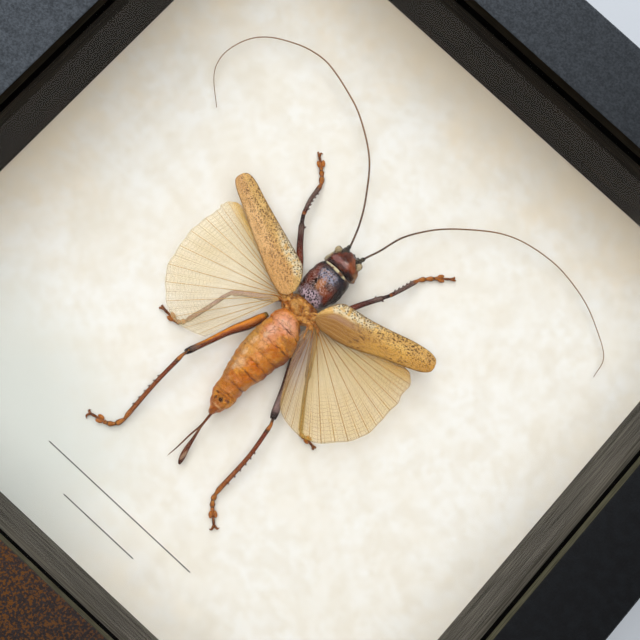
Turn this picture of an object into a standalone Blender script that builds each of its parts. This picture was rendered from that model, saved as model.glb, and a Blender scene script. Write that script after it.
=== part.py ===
"""Framed katydid specimen: a spread bush-cricket on backing paper in a square shadow box.

The case lies on its back. +Z comes out of the glass, +Y points to the top of the case, where the
insect's head points, and the origin is the middle of the case's back.
Sizes are in millimetres. mesh_object turns them into metres.
The insect's heights are counted from the face of the backing paper.
"""
import math

import bmesh
import bpy
import numpy as np
from mathutils import Vector

MM = 0.001
GAP = 0.3

# Case, from the back to the front
OPENING = 203.0
FACE_WIDTH = 24.0
RAIL_DEPTH = 48.4
REBATE = 8.0
LIP_DEPTH = 4.5
OUTER_ROUND = 1.2
INNER_ROUND = 0.4
BACK_RECESS = 2.0
PANEL_THICKNESS = 5.0
PAPER_THICKNESS = 0.7
GLASS_THICKNESS = 3.8

HALF_OPENING = OPENING / 2
HALF_REBATE = HALF_OPENING + REBATE
HALF_OUTER = HALF_OPENING + FACE_WIDTH
HALF_PANE = HALF_REBATE - GAP
PAPER_FACE = BACK_RECESS + PANEL_THICKNESS + GAP + PAPER_THICKNESS
LIP_BACK = RAIL_DEPTH - LIP_DEPTH
GLASS_BACK = LIP_BACK - GAP - GLASS_THICKNESS
LINER_FRONT = GLASS_BACK - GAP

# Body stations: place along the body, middle, half width, lowest and highest point
HEAD = [
    (19.6, 0.4, 5.9, 2.2, 11.6),
    (20.6, 0.5, 6.2, 1.5, 12.1),
    (22.6, 0.4, 5.8, 0.9, 12.2),
    (24.6, 0.3, 4.9, 0.8, 11.6),
    (26.2, 0.3, 3.6, 1.2, 10.0),
    (27.2, 0.4, 1.8, 2.5, 7.6),
]
PRONOTUM = [
    (5.7, 0.0, 2.6, 8.4, 11.4),
    (6.6, -0.3, 4.4, 6.4, 12.2),
    (8.9, -0.2, 5.6, 3.6, 12.8),
    (12.0, 0.2, 6.5, 2.2, 13.2),
    (15.0, 0.3, 6.5, 2.0, 13.3),
    (18.0, 0.3, 6.0, 2.0, 13.0),
    (19.3, 0.2, 5.2, 2.4, 12.7),
]
THORAX = [
    (0.9, -0.8, 3.0, 2.4, 8.6),
    (1.9, -0.4, 4.4, 1.4, 9.6),
    (3.4, 0.0, 5.0, 1.0, 10.2),
    (5.3, 0.0, 4.4, 2.0, 9.8),
]
ABDOMEN = [
    (-40.4, 1.4, 0.7, 3.5, 5.6),
    (-38.6, 1.2, 1.5, 3.0, 6.8),
    (-36.6, 0.9, 2.9, 2.2, 8.4),
    (-33.8, 0.7, 4.1, 1.4, 9.2),
    (-30.6, 0.2, 4.2, 1.0, 9.8),
    (-26.1, -0.1, 4.9, 0.7, 11.0),
    (-22.8, 0.1, 5.9, 0.4, 12.0),
    (-18.6, 0.1, 6.6, 0.3, 12.9),
    (-15.2, 0.3, 7.0, 0.3, 13.4),
    (-11.7, 0.8, 7.3, 0.3, 13.6),
    (-8.3, 0.6, 6.9, 0.4, 13.4),
    (-5.0, 0.2, 6.1, 0.7, 12.8),
    (-2.5, -0.5, 5.0, 1.4, 11.8),
    (-0.7, -0.9, 3.6, 2.6, 10.4),
    (0.4, -1.2, 1.6, 4.4, 8.4),
]
HEAD_ROWS = 10
PRONOTUM_ROWS = 14
THORAX_ROWS = 8
BODY_SIDES = 16

# Abdomen rings: each is full until just before its rear edge, steps in there and swells again
TERGITE_EDGES = (-5.3, -11.3, -16.1, -19.6, -23.5, -28.4, -32.4)
TERGITE_END = -35.6
TERGITE_STEP = 0.35
FULL_BEFORE_EDGE = 0.9
FULL_AFTER_EDGE = 0.45
ABDOMEN_WAIST_ROWS = (-0.3, -1.4, -2.8)
ABDOMEN_TIP_ROWS = (-37.2, -38.4, -39.5)
ABDOMEN_SAMPLES = 400

# Wing hinges: golden lumps at each side of the thorax
HINGES = ((-4.5, 1.3, 8.2), (4.0, 1.2, 8.2))
HINGE_RADIUS = 1.3

# Head fittings
EYES = ((-3.7, 24.6, 9.0), (4.1, 24.8, 9.0))
EYE_RADIUS = 1.35
SCAPES = ((-1.9, 25.0, 8.2, -2.15, 28.2), (2.7, 24.8, 8.2, 3.9, 28.3))
SCAPE_RADIUS = 1.0
SCAPE_TAPER = 0.6
BROW_TIP = (0.2, 27.3, 7.2)
BROW_LENGTH = 2.4
BROW_RADIUS = 0.55
BROW_FLARE = 1.5
PALPS = ((-1.4, 26.0, 3.0), (1.8, 26.0, 3.0))
PALP_LENGTH = 2.4
PALP_RADIUS = 0.35
PALP_TAPER = 0.7
STUB_SIDES = 8
BALL_SEGMENTS = 10
BALL_RINGS = 6

# Ovipositor: route with half width and half height
OVIPOSITOR_BLADE = [
    (1.5, -40.8, 3.9, 0.45, 0.45),
    (1.8, -45.0, 3.5, 0.40, 0.40),
    (2.6, -49.5, 3.1, 0.55, 0.40),
    (3.2, -53.0, 2.8, 0.85, 0.35),
    (3.9, -55.8, 2.4, 1.00, 0.35),
    (4.4, -57.6, 2.1, 0.75, 0.30),
    (4.7, -58.5, 2.0, 0.30, 0.20),
]
BLADE_ROWS = 12
OVIPOSITOR_STYLET = [
    (1.5, -40.8, 5.1, 0.35, 0.30),
    (1.65, -45.0, 4.8, 0.30, 0.28),
    (1.1, -49.7, 4.3, 0.28, 0.25),
    (0.8, -54.7, 3.7, 0.22, 0.20),
    (0.3, -58.8, 3.2, 0.10, 0.10),
]
STYLET_ROWS = 9

# Forewing stations: front edge, rear edge, height
LEFT_FOREWING = [
    (-5.1, 5.6, -5.8, 3.0, 10.4),
    (-5.9, 9.0, -8.2, 1.7, 10.4),
    (-8.4, 12.6, -12.0, 2.5, 10.2),
    (-12.6, 14.4, -15.8, 4.0, 9.9),
    (-18.0, 16.2, -21.0, 6.6, 9.6),
    (-25.5, 18.6, -29.0, 10.8, 9.2),
    (-32.8, 21.1, -37.0, 15.0, 8.8),
    (-38.2, 23.1, -41.4, 17.4, 8.5),
    (-41.4, 23.4, -43.3, 19.2, 8.4),
    (-42.9, 22.3, -43.4, 20.8, 8.4),
]
RIGHT_FOREWING = [
    (5.0, 5.4, 5.5, 3.0, 10.4),
    (6.2, 8.8, 8.2, 1.9, 10.4),
    (8.6, 12.6, 12.2, 2.1, 10.2),
    (13.2, 13.9, 16.4, 2.9, 9.9),
    (19.0, 15.0, 21.6, 4.8, 9.6),
    (26.0, 17.0, 28.5, 8.2, 9.2),
    (33.0, 19.2, 36.0, 11.2, 8.8),
    (38.6, 20.3, 41.0, 13.6, 8.5),
    (41.6, 20.0, 43.2, 15.6, 8.4),
    (42.9, 18.9, 43.4, 17.4, 8.4),
]
FOREWING_THICKNESS = 0.4
FOREWING_CAMBER = 0.8
FOREWING_ROWS = 22
FOREWING_CHORD = 6

# Hindwings: the fan's root and its outer margin, from the front edge round to the rear edge
LEFT_HIND_ROOT = (-6.0, 2.6)
LEFT_HIND_MARGIN = [
    (-36.5, 14.6), (-39.4, 13.4), (-41.2, 10.6), (-40.8, 8.6), (-41.7, 4.5), (-42.5, -2.0),
    (-41.7, -8.3), (-40.1, -15.5), (-36.4, -20.4), (-31.5, -24.8), (-26.2, -26.7), (-20.6, -25.7),
    (-16.2, -24.0),
]
RIGHT_HIND_ROOT = (6.4, 2.6)
RIGHT_HIND_MARGIN = [
    (36.5, 11.6), (39.6, 10.8), (41.7, 7.8), (41.5, 5.2), (42.4, 1.6), (42.2, -4.0),
    (42.2, -9.5), (40.6, -15.0), (36.5, -20.4), (31.0, -25.3), (25.3, -26.8), (19.4, -26.0),
    (15.6, -23.4), (11.6, -14.0), (8.6, -6.6),
]
HINDWING_THICKNESS = 0.3
HIND_ROOT_HEIGHT = 8.6
HIND_MARGIN_HEIGHT = 7.3
PLEAT_HEIGHT = 0.35
HIND_RAYS = 27
HIND_STEPS = 5
HIND_ROOT_RADIUS = 1.6

# Legs: joints of the femur, tibia and tarsus, thickness, and spines as (place on the part, side)
LEGS = {
    "foreleg_left": {
        "femur": [(-7.3, 10.3, 4.4), (-10.7, 14.2, 4.6), (-14.4, 18.2, 5.0), (-18.8, 23.9, 5.6)],
        "tibia": [(-20.2, 26.1, 5.5), (-22.0, 31.4, 4.2), (-22.9, 37.0, 2.4)],
        "tarsus": [(-23.3, 38.4, 1.5), (-24.9, 40.6, 1.1), (-26.5, 42.0, 1.0), (-28.0, 43.6, 1.0),
                   (-30.0, 44.9, 1.0)],
        "thickness": (1.15, 0.80),
        "femur_spines": ((0.93, 1),),
        "tibia_spines": ((0.22, 1), (0.37, 1), (0.51, 1), (0.65, 1), (0.80, 1)),
        "claws": (-31.3, 45.9, -29.8, 46.6),
    },
    "foreleg_right": {
        "femur": [(7.4, 7.3, 4.4), (10.0, 11.2, 4.7), (13.2, 17.5, 5.0), (16.9, 23.9, 5.6)],
        "tibia": [(17.8, 25.5, 5.5), (19.5, 30.2, 4.3), (20.9, 35.1, 2.4)],
        "tarsus": [(21.4, 36.6, 1.5), (22.9, 38.6, 1.1), (24.9, 40.7, 1.0), (26.4, 42.2, 1.0),
                   (28.8, 44.1, 1.0)],
        "thickness": (1.00, 0.75),
        "femur_spines": ((0.88, -1), (0.96, 1)),
        "tibia_spines": ((0.24, -1), (0.40, -1), (0.56, -1), (0.72, -1), (0.88, -1)),
        "claws": (29.2, 45.7, 30.4, 44.8),
    },
    "midleg_left": {
        "femur": [(-7.2, 1.4, 3.8), (-9.9, -1.1, 4.2), (-15.4, -4.4, 4.4), (-19.8, -8.0, 4.5)],
        "tibia": [(-20.6, -9.7, 4.4), (-22.3, -16.4, 3.1), (-24.3, -23.0, 1.8)],
        "tarsus": [(-24.7, -24.3, 1.4), (-25.6, -25.5, 1.1), (-26.9, -26.3, 1.0), (-28.9, -26.3, 1.0),
                   (-32.4, -26.1, 1.0)],
        "thickness": (1.15, 0.80),
        "femur_spines": (),
        "tibia_spines": (),
        "claws": (-33.5, -27.1, -33.4, -25.5),
    },
    "midleg_right": {
        "femur": [(7.2, 2.6, 4.0), (9.8, -1.4, 4.3), (13.4, -7.2, 4.4), (16.3, -11.8, 4.5)],
        "tibia": [(17.2, -13.2, 4.4), (20.8, -18.4, 3.0), (25.6, -24.8, 1.8)],
        "tarsus": [(26.5, -25.7, 1.4), (27.3, -26.1, 1.1), (28.2, -26.0, 1.0), (29.3, -25.8, 1.0),
                   (31.7, -26.1, 1.0)],
        "thickness": (1.15, 0.70),
        "femur_spines": (),
        "tibia_spines": (),
        "claws": (32.6, -25.6, 32.2, -27.0),
    },
    "hindleg_left": {
        "femur": [(-6.9, -5.2, 4.2), (-8.8, -11.2, 5.2), (-11.8, -17.3, 5.9), (-14.7, -24.9, 6.3),
                  (-17.1, -30.9, 6.4)],
        "tibia": [(-17.5, -33.0, 6.2), (-17.9, -45.0, 4.0), (-17.6, -58.0, 2.2)],
        "tarsus": [(-17.4, -59.8, 1.5), (-18.6, -62.7, 1.2), (-20.7, -64.3, 1.0), (-23.1, -64.8, 1.0),
                   (-26.4, -65.6, 1.0)],
        "thickness": (1.75, 0.78),
        "femur_spines": ((0.96, -1),),
        "tibia_spines": ((0.40, 1), (0.48, 1), (0.57, 1), (0.65, 1), (0.75, 1), (0.85, 1)),
        "claws": (-27.2, -64.7, -26.2, -67.6),
    },
    "hindleg_right": {
        "femur": [(7.2, -2.6, 3.3), (8.3, -7.6, 3.0), (10.0, -13.0, 3.1), (12.8, -19.0, 3.9),
                  (16.6, -27.9, 5.3)],
        "tibia": [(17.7, -30.3, 5.4), (19.2, -42.0, 4.0), (19.3, -56.0, 2.2)],
        "tarsus": [(19.5, -57.7, 1.5), (20.2, -59.6, 1.2), (21.6, -61.3, 1.0), (23.1, -62.7, 1.0),
                   (25.6, -64.9, 1.0)],
        "thickness": (1.40, 0.78),
        "femur_spines": ((0.96, 1),),
        "tibia_spines": ((0.42, -1), (0.50, -1), (0.59, -1), (0.68, -1), (0.77, -1), (0.87, -1)),
        "claws": (25.3, -66.8, 27.4, -64.4),
    },
}
LEG_SIDES = 6
SPINE_HALF_WIDTH = 0.35
SPINE_LENGTH = 0.6
SPINE_LEAN = 0.3
SPINE_TIP = 0.15
# Girth along each part as (place, share of the part's thickness)
FEMUR_GIRTH = [(0.0, 0.65), (0.12, 0.92), (0.45, 1.0), (0.85, 0.85), (1.0, 0.85)]
HIND_FEMUR_GIRTH = [(0.0, 0.50), (0.12, 0.85), (0.28, 1.0), (0.42, 0.85), (0.55, 0.62),
                    (0.75, 0.48), (0.90, 0.48), (1.0, 0.58)]
TIBIA_GIRTH = [(0.0, 0.75), (0.12, 0.90), (0.50, 0.92), (0.90, 1.0), (1.0, 1.1)]
TARSUS_GIRTH = [(0.04, 0.60), (0.14, 0.95), (0.24, 0.55), (0.28, 0.55), (0.40, 1.0), (0.50, 0.55),
                (0.56, 0.80), (0.68, 1.55), (0.82, 1.40), (0.86, 0.40), (1.0, 0.45)]
LEG_HEIGHT_SHARE = 0.9
TARSUS_HALF_HEIGHT = 0.5
CLAW_HEIGHT = 0.5
CLAW_TIP = 0.2

# Antennae: route from the head to the tip
LEFT_ANTENNA = [
    (-2.2, 28.7, 8.2), (-4.9, 36.1, 7.2), (-9.5, 44.3, 6.9), (-17.3, 54.5, 6.5), (-28.6, 62.7, 5.8),
    (-38.0, 66.6, 5.4), (-48.4, 69.2, 5.0), (-56.0, 68.7, 4.6), (-62.6, 66.4, 4.2),
    (-68.8, 62.9, 3.9), (-73.2, 58.2, 3.5), (-75.7, 51.8, 3.1), (-75.8, 45.8, 2.8),
    (-73.1, 40.5, 2.4), (-65.6, 33.8, 2.0),
]
RIGHT_ANTENNA = [
    (4.1, 28.9, 8.2), (5.9, 34.0, 7.4), (8.2, 42.0, 6.7), (12.4, 49.0, 6.3), (17.1, 54.6, 5.9),
    (24.3, 61.0, 5.4), (31.0, 65.8, 5.0), (38.0, 68.8, 4.6), (46.8, 70.5, 4.1), (54.9, 70.6, 3.7),
    (65.5, 68.5, 3.3), (74.0, 64.8, 2.9), (82.7, 59.1, 2.4), (84.6, 51.9, 2.0),
]
ANTENNA_BASE = 0.42
ANTENNA_TIP = 0.15
ANTENNA_RINGS = 44

SMOOTH_ANGLE = math.radians(40)
ROUNDING_STEPS = 3

COLOURS = {
    "black_face": ((0.045, 0.048, 0.055), 0.62),
    "dark_wood": ((0.075, 0.055, 0.042), 0.55),
    "paper": ((0.86, 0.82, 0.72), 0.90),
    "panel": ((0.30, 0.22, 0.15), 0.85),
    "glass": ((0.90, 0.95, 0.93), 0.05),
    "dark_shell": ((0.10, 0.035, 0.022), 0.28),
    "orange_shell": ((0.62, 0.24, 0.06), 0.35),
    "leg_shell": ((0.13, 0.045, 0.022), 0.35),
    "tan_wing": ((0.52, 0.33, 0.13), 0.55),
    "straw_wing": ((0.80, 0.68, 0.40), 0.50),
    "antenna": ((0.16, 0.09, 0.045), 0.50),
}


def clear_scene():
    for thing in list(bpy.data.objects):
        bpy.data.objects.remove(thing, do_unlink=True)


def finish_material(slot):
    found = bpy.data.materials.get(slot)
    if found:
        return found
    colour, roughness = COLOURS[slot]
    made = bpy.data.materials.new(slot)
    made.use_nodes = True
    shader = made.node_tree.nodes["Principled BSDF"]
    shader.inputs["Base Color"].default_value = (*colour, 1.0)
    shader.inputs["Roughness"].default_value = roughness
    shader.inputs["Metallic"].default_value = 0.0
    if slot == "glass":
        shader.inputs["Transmission Weight"].default_value = 1.0
    return made


def mesh_object(name, bm, slot, lift=0.0, smooth=True):
    """Turn a bmesh in millimetres into a named object in metres, raised by lift millimetres."""
    bmesh.ops.translate(bm, vec=(0.0, 0.0, lift), verts=bm.verts)
    bmesh.ops.scale(bm, vec=(MM, MM, MM), verts=bm.verts)
    bmesh.ops.recalc_face_normals(bm, faces=bm.faces)
    if bm.calc_volume(signed=True) < 0:
        bmesh.ops.reverse_faces(bm, faces=bm.faces)
    mesh = bpy.data.meshes.new(name)
    bm.to_mesh(mesh)
    bm.free()
    if smooth:
        mesh.shade_smooth()
        mesh.set_sharp_from_angle(angle=SMOOTH_ANGLE)
    mesh.materials.append(finish_material(slot))
    made = bpy.data.objects.new(name, mesh)
    bpy.context.scene.collection.objects.link(made)
    return made


def through(knots, places):
    """Rows on a smooth curve through the knots, at places from 0 to 1 counted knot by knot."""
    knots = np.array(knots, dtype=float)
    ends = np.vstack([2 * knots[0] - knots[1], knots, 2 * knots[-1] - knots[-2]])
    rows = []
    for place in places:
        along = place * (len(knots) - 1)
        first = min(int(along), len(knots) - 2)
        t = along - first
        a, b, c, d = ends[first:first + 4]
        rows.append(0.5 * (2 * b + (c - a) * t + (2 * a - 5 * b + 4 * c - d) * t ** 2
                           + (3 * b - a - 3 * c + d) * t ** 3))
    return np.array(rows)


def loft(rings):
    """Close a skin over rings of equal length, with a flat cap at each end."""
    bm = bmesh.new()
    loops = [[bm.verts.new(point) for point in ring] for ring in rings]
    for low, high in zip(loops, loops[1:]):
        for k in range(len(low)):
            after = (k + 1) % len(low)
            bm.faces.new((low[k], low[after], high[after], high[k]))
    bm.faces.new(loops[0][::-1])
    bm.faces.new(loops[-1])
    return bm, loops


# Case

def rail_profile():
    """Section of a frame rail as (distance from the middle of the case, height)."""
    def rounding(centre_u, centre_z, radius, start):
        angles = [math.radians(start + step * 90 / ROUNDING_STEPS)
                  for step in range(ROUNDING_STEPS + 1)]
        return [(centre_u + radius * math.cos(a), centre_z + radius * math.sin(a)) for a in angles]
    outer = rounding(HALF_OUTER - OUTER_ROUND, RAIL_DEPTH - OUTER_ROUND, OUTER_ROUND, 0)
    inner = rounding(HALF_OPENING + INNER_ROUND, RAIL_DEPTH - INNER_ROUND, INNER_ROUND, 90)
    return ([(HALF_OUTER, 0.0)] + outer + inner
            + [(HALF_OPENING, LIP_BACK), (HALF_REBATE, LIP_BACK), (HALF_REBATE, 0.0)])


def liner_profile():
    return [(HALF_PANE, PAPER_FACE + GAP), (HALF_PANE, LINER_FRONT),
            (HALF_OPENING, LINER_FRONT), (HALF_OPENING, PAPER_FACE + GAP)]


def mitred_bar(name, profile, turn, slot):
    """One side of a square frame, its ends cut at 45 degrees with half a gap left at each."""
    trim = GAP / math.sqrt(2)
    ends = []
    for side in (-1, 1):
        ends.append([(side * (u - trim), u, z) for u, z in profile])
    bm, _ = loft(ends)
    cos, sin = round(math.cos(turn)), round(math.sin(turn))
    for vert in bm.verts:
        x, y = vert.co.x, vert.co.y
        vert.co.x, vert.co.y = x * cos - y * sin, x * sin + y * cos
    return mesh_object(name, bm, slot, smooth=False)


def sheet(name, half_side, low, high, slot):
    bm = bmesh.new()
    bmesh.ops.create_cube(bm, size=1.0)
    bmesh.ops.scale(bm, vec=(2 * half_side, 2 * half_side, high - low), verts=bm.verts)
    return mesh_object(name, bm, slot, lift=(low + high) / 2, smooth=False)


def build_case():
    sides = ("top", "left", "bottom", "right")
    for quarter, side in enumerate(sides):
        turn = quarter * math.pi / 2
        mitred_bar("rail_" + side, rail_profile(), turn, "black_face")
        mitred_bar("liner_" + side, liner_profile(), turn, "dark_wood")
    panel_front = BACK_RECESS + PANEL_THICKNESS
    sheet("back_panel", HALF_PANE, BACK_RECESS, panel_front, "panel")
    sheet("backing_paper", HALF_PANE, panel_front + GAP, PAPER_FACE, "paper")
    sheet("glass", HALF_PANE, GLASS_BACK, GLASS_BACK + GLASS_THICKNESS, "glass")


# Body

def body_ring(station, sides=BODY_SIDES):
    """Upright oval section of the body at one station."""
    y, middle, half_width, low, high = station
    ring = []
    for k in range(sides):
        angle = 2 * math.pi * k / sides
        ring.append((middle + half_width * math.cos(angle), y,
                     (low + high) / 2 + (high - low) / 2 * math.sin(angle)))
    return ring


def body_loft(stations, count):
    rows = through(stations, np.linspace(0, 1, count))
    bm, _ = loft([body_ring(row) for row in rows])
    return bm


def abdomen_stations():
    """Smooth outline with a low step at each tergite edge, front to back."""
    dense = through(ABDOMEN, np.linspace(0, 1, ABDOMEN_SAMPLES))

    def at(y, shrink):
        row = np.array([np.interp(y, dense[:, 0], dense[:, column]) for column in range(5)])
        row[2] -= shrink
        row[4] -= shrink
        row[3] = min(row[3] + shrink, row[4])
        return row

    front, back = ABDOMEN[-1][0], ABDOMEN[0][0]
    marks = [(y, 0.0) for y in (front,) + ABDOMEN_WAIST_ROWS]
    ends = TERGITE_EDGES[1:] + (TERGITE_END,)
    for edge, after in zip(TERGITE_EDGES, ends):
        marks += [(edge + FULL_BEFORE_EDGE, 0.0), (edge, TERGITE_STEP),
                  (edge - FULL_AFTER_EDGE, 0.0), ((edge + after) / 2, 0.0)]
    marks += [(y, 0.0) for y in (TERGITE_END,) + ABDOMEN_TIP_ROWS + (back,)]
    return [at(y, shrink) for y, shrink in marks]


def stub(start, end, start_radius, end_radius, sides=STUB_SIDES):
    """Tapered round bar between two points."""
    axis = Vector(end) - Vector(start)
    across = axis.orthogonal().normalized()
    other = axis.cross(across).normalized()
    rings = []
    for point, radius in ((Vector(start), start_radius), (Vector(end), end_radius)):
        ring = []
        for k in range(sides):
            angle = 2 * math.pi * k / sides
            ring.append(point + radius * (across * math.cos(angle) + other * math.sin(angle)))
        rings.append(ring)
    return loft(rings)[0]


def ball(centre, radius):
    bm = bmesh.new()
    bmesh.ops.create_uvsphere(bm, u_segments=BALL_SEGMENTS, v_segments=BALL_RINGS, radius=radius)
    bmesh.ops.translate(bm, vec=centre, verts=bm.verts)
    return bm


def fuse(body, bm, name, slot):
    """Join a small solid to the body it grows from."""
    cutter = mesh_object(name, bm, slot, lift=PAPER_FACE)
    cutter.hide_render = True
    cutter.display_type = "WIRE"
    join = body.modifiers.new(name, "BOOLEAN")
    join.operation = "UNION"
    join.solver = "EXACT"
    join.object = cutter


def build_head():
    head = mesh_object("head", body_loft(HEAD, HEAD_ROWS), "dark_shell", lift=PAPER_FACE)
    for index, centre in enumerate(EYES):
        fuse(head, ball(centre, EYE_RADIUS), f"fuse_eye_{index}", "dark_shell")
    for index, (x, y, z, tip_x, tip_y) in enumerate(SCAPES):
        bar = stub((x, y, z), (tip_x, tip_y, z), SCAPE_RADIUS, SCAPE_RADIUS * SCAPE_TAPER)
        fuse(head, bar, f"fuse_scape_{index}", "dark_shell")
    for index, (x, y, z) in enumerate(PALPS):
        bar = stub((x, y, z), (x, y + PALP_LENGTH, z), PALP_RADIUS, PALP_RADIUS * PALP_TAPER)
        fuse(head, bar, f"fuse_palp_{index}", "dark_shell")
    x, y, z = BROW_TIP
    bar = stub((x, y - BROW_LENGTH, z), BROW_TIP, BROW_RADIUS * BROW_FLARE, BROW_RADIUS)
    fuse(head, bar, "fuse_brow", "dark_shell")


def build_body():
    build_head()
    mesh_object("pronotum", body_loft(PRONOTUM, PRONOTUM_ROWS), "dark_shell", lift=PAPER_FACE)
    thorax = mesh_object("thorax", body_loft(THORAX, THORAX_ROWS), "orange_shell", lift=PAPER_FACE)
    for index, centre in enumerate(HINGES):
        fuse(thorax, ball(centre, HINGE_RADIUS), f"fuse_hinge_{index}", "orange_shell")
    rings = [body_ring(row) for row in abdomen_stations()]
    mesh_object("abdomen", loft(rings)[0], "orange_shell", lift=PAPER_FACE)


# Legs, antennae and ovipositor

def tube_rings(route, half_widths, half_heights, sides):
    """Rings square to a route, one at each of its points, as wide as asked from flat to flat."""
    route = [Vector(point) for point in route]
    flat = math.cos(math.pi / sides)
    rings = []
    for index, point in enumerate(route):
        behind = route[max(index - 1, 0)]
        ahead = route[min(index + 1, len(route) - 1)]
        along = (ahead - behind).normalized()
        across = along.cross(Vector((0, 0, 1))).normalized()
        above = across.cross(along)
        ring = []
        for k in range(sides):
            angle = 2 * math.pi * (k + 0.5) / sides
            ring.append(point + across * half_widths[index] / flat * math.cos(angle)
                        + above * half_heights[index] * math.sin(angle))
        rings.append(ring)
    return rings


def leg_part(joints, girth, thickness, spines):
    """Stations along one part of a leg: points, thicknesses and, for each spine, its station."""
    length = sum((Vector(b) - Vector(a)).length for a, b in zip(joints, joints[1:]))
    reach = SPINE_HALF_WIDTH / length
    places = [(place, None) for place, _ in girth]
    for place, side in spines:
        places += [(place - reach, side), (place + reach, None)]
    places.sort(key=lambda entry: entry[0])
    at = [place for place, _ in places]
    shares = np.interp(at, [g[0] for g in girth], [g[1] for g in girth])
    return through(joints, at), shares * thickness, [side for _, side in places]


def grow_spine(bm, low, high, side, tip, blunt=SPINE_TIP):
    """Draw the side face between two rings out to a point."""
    sides = len(low)
    first = sides - 1 if side > 0 else sides // 2 - 1
    corners = [low[first], low[(first + 1) % sides], high[(first + 1) % sides], high[first]]
    face = next(f for f in corners[0].link_faces if all(v in f.verts for v in corners))
    drawn = bmesh.ops.extrude_discrete_faces(bm, faces=[face])["faces"][0]
    middle = drawn.calc_center_median()
    for vert in drawn.verts:
        vert.co = Vector(tip) + (vert.co - middle) * blunt


def build_leg(name, leg):
    femur, tibia = leg["thickness"]
    points, widths, heights, spines = [], [], [], []
    femur_girth = HIND_FEMUR_GIRTH if name.startswith("hindleg") else FEMUR_GIRTH
    for part, girth, thick in (("femur", femur_girth, femur),
                               ("tibia", TIBIA_GIRTH, tibia),
                               ("tarsus", TARSUS_GIRTH, tibia)):
        route, half, sides = leg_part(leg[part], girth, thick, leg.get(part + "_spines", ()))
        points += list(route)
        widths += list(half)
        heights += [TARSUS_HALF_HEIGHT if part == "tarsus" else wide * LEG_HEIGHT_SHARE
                    for wide in half]
        spines += sides
    bm, loops = loft(tube_rings(points, widths, heights, LEG_SIDES))
    for index, side in enumerate(spines):
        if side:
            low, high = loops[index], loops[index + 1]
            along = (Vector(points[index + 1]) - Vector(points[index])).normalized()
            across = along.cross(Vector((0, 0, 1))).normalized() * side
            start = (Vector(points[index]) + Vector(points[index + 1])) / 2
            tip = start + across * (widths[index] + SPINE_LENGTH) + along * SPINE_LEAN
            grow_spine(bm, low, high, side, tip)
    left_x, left_y, right_x, right_y = leg["claws"]
    grow_spine(bm, loops[-2], loops[-1], -1, (left_x, left_y, CLAW_HEIGHT), CLAW_TIP)
    grow_spine(bm, loops[-2], loops[-1], 1, (right_x, right_y, CLAW_HEIGHT), CLAW_TIP)
    mesh_object(name, bm, "leg_shell", lift=PAPER_FACE)


def build_antenna(name, knots):
    route = through(knots, np.linspace(0, 1, ANTENNA_RINGS))
    radii = np.linspace(ANTENNA_BASE, ANTENNA_TIP, ANTENNA_RINGS)
    bm, _ = loft(tube_rings(route, radii, radii, LEG_SIDES))
    mesh_object(name, bm, "antenna", lift=PAPER_FACE)


def build_valve(name, knots, count):
    rows = through(knots, np.linspace(0, 1, count))
    bm, _ = loft(tube_rings(rows[:, :3], rows[:, 3], rows[:, 4], LEG_SIDES))
    mesh_object(name, bm, "leg_shell", lift=PAPER_FACE)


# Wings

def plate(rows, thickness):
    """Close a thin plate over a grid of points in its middle surface."""
    bm = bmesh.new()
    half = Vector((0, 0, thickness / 2))
    front = [[bm.verts.new(Vector(p) + half) for p in row] for row in rows]
    back = [[bm.verts.new(Vector(p) - half) for p in row] for row in rows]
    for i in range(len(rows) - 1):
        for j in range(len(rows[0]) - 1):
            for skin in (front, back):
                bm.faces.new((skin[i][j], skin[i][j + 1], skin[i + 1][j + 1], skin[i + 1][j]))
    last, end = len(rows) - 1, len(rows[0]) - 1
    rim = [(0, j) for j in range(end)] + [(i, end) for i in range(last)]
    rim += [(last, j) for j in range(end, 0, -1)] + [(i, 0) for i in range(last, 0, -1)]
    for (i, j), (k, m) in zip(rim, rim[1:] + rim[:1]):
        bm.faces.new((front[i][j], front[k][m], back[k][m], back[i][j]))
    return bm


def build_forewing(name, stations):
    """Leathery wing, arched from its front edge to its rear edge."""
    rows = []
    for front_x, front_y, rear_x, rear_y, height in through(stations,
                                                            np.linspace(0, 1, FOREWING_ROWS)):
        row = []
        for chord in np.linspace(0, 1, FOREWING_CHORD):
            arch = FOREWING_CAMBER * (1 - (2 * chord - 1) ** 2)
            row.append((front_x + (rear_x - front_x) * chord,
                        front_y + (rear_y - front_y) * chord, height + arch))
        rows.append(row)
    mesh_object(name, plate(rows, FOREWING_THICKNESS), "tan_wing", lift=PAPER_FACE)


def build_hindwing(name, root, margin):
    """Pleated fan: straight folds from the root to the outer margin, up and down by turns."""
    root = np.array(root)
    rows = []
    for ray, edge in enumerate(through(margin, np.linspace(0, 1, HIND_RAYS))):
        start = root + (edge - root) * HIND_ROOT_RADIUS / np.linalg.norm(edge - root)
        row = []
        for step in np.linspace(0, 1, HIND_STEPS):
            x, y = start + (edge - start) * step
            pleat = PLEAT_HEIGHT * step * (1 if ray % 2 else -1)
            height = HIND_ROOT_HEIGHT + (HIND_MARGIN_HEIGHT - HIND_ROOT_HEIGHT) * step
            row.append((x, y, height + pleat))
        rows.append(row)
    mesh_object(name, plate(rows, HINDWING_THICKNESS), "straw_wing", lift=PAPER_FACE)


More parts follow.
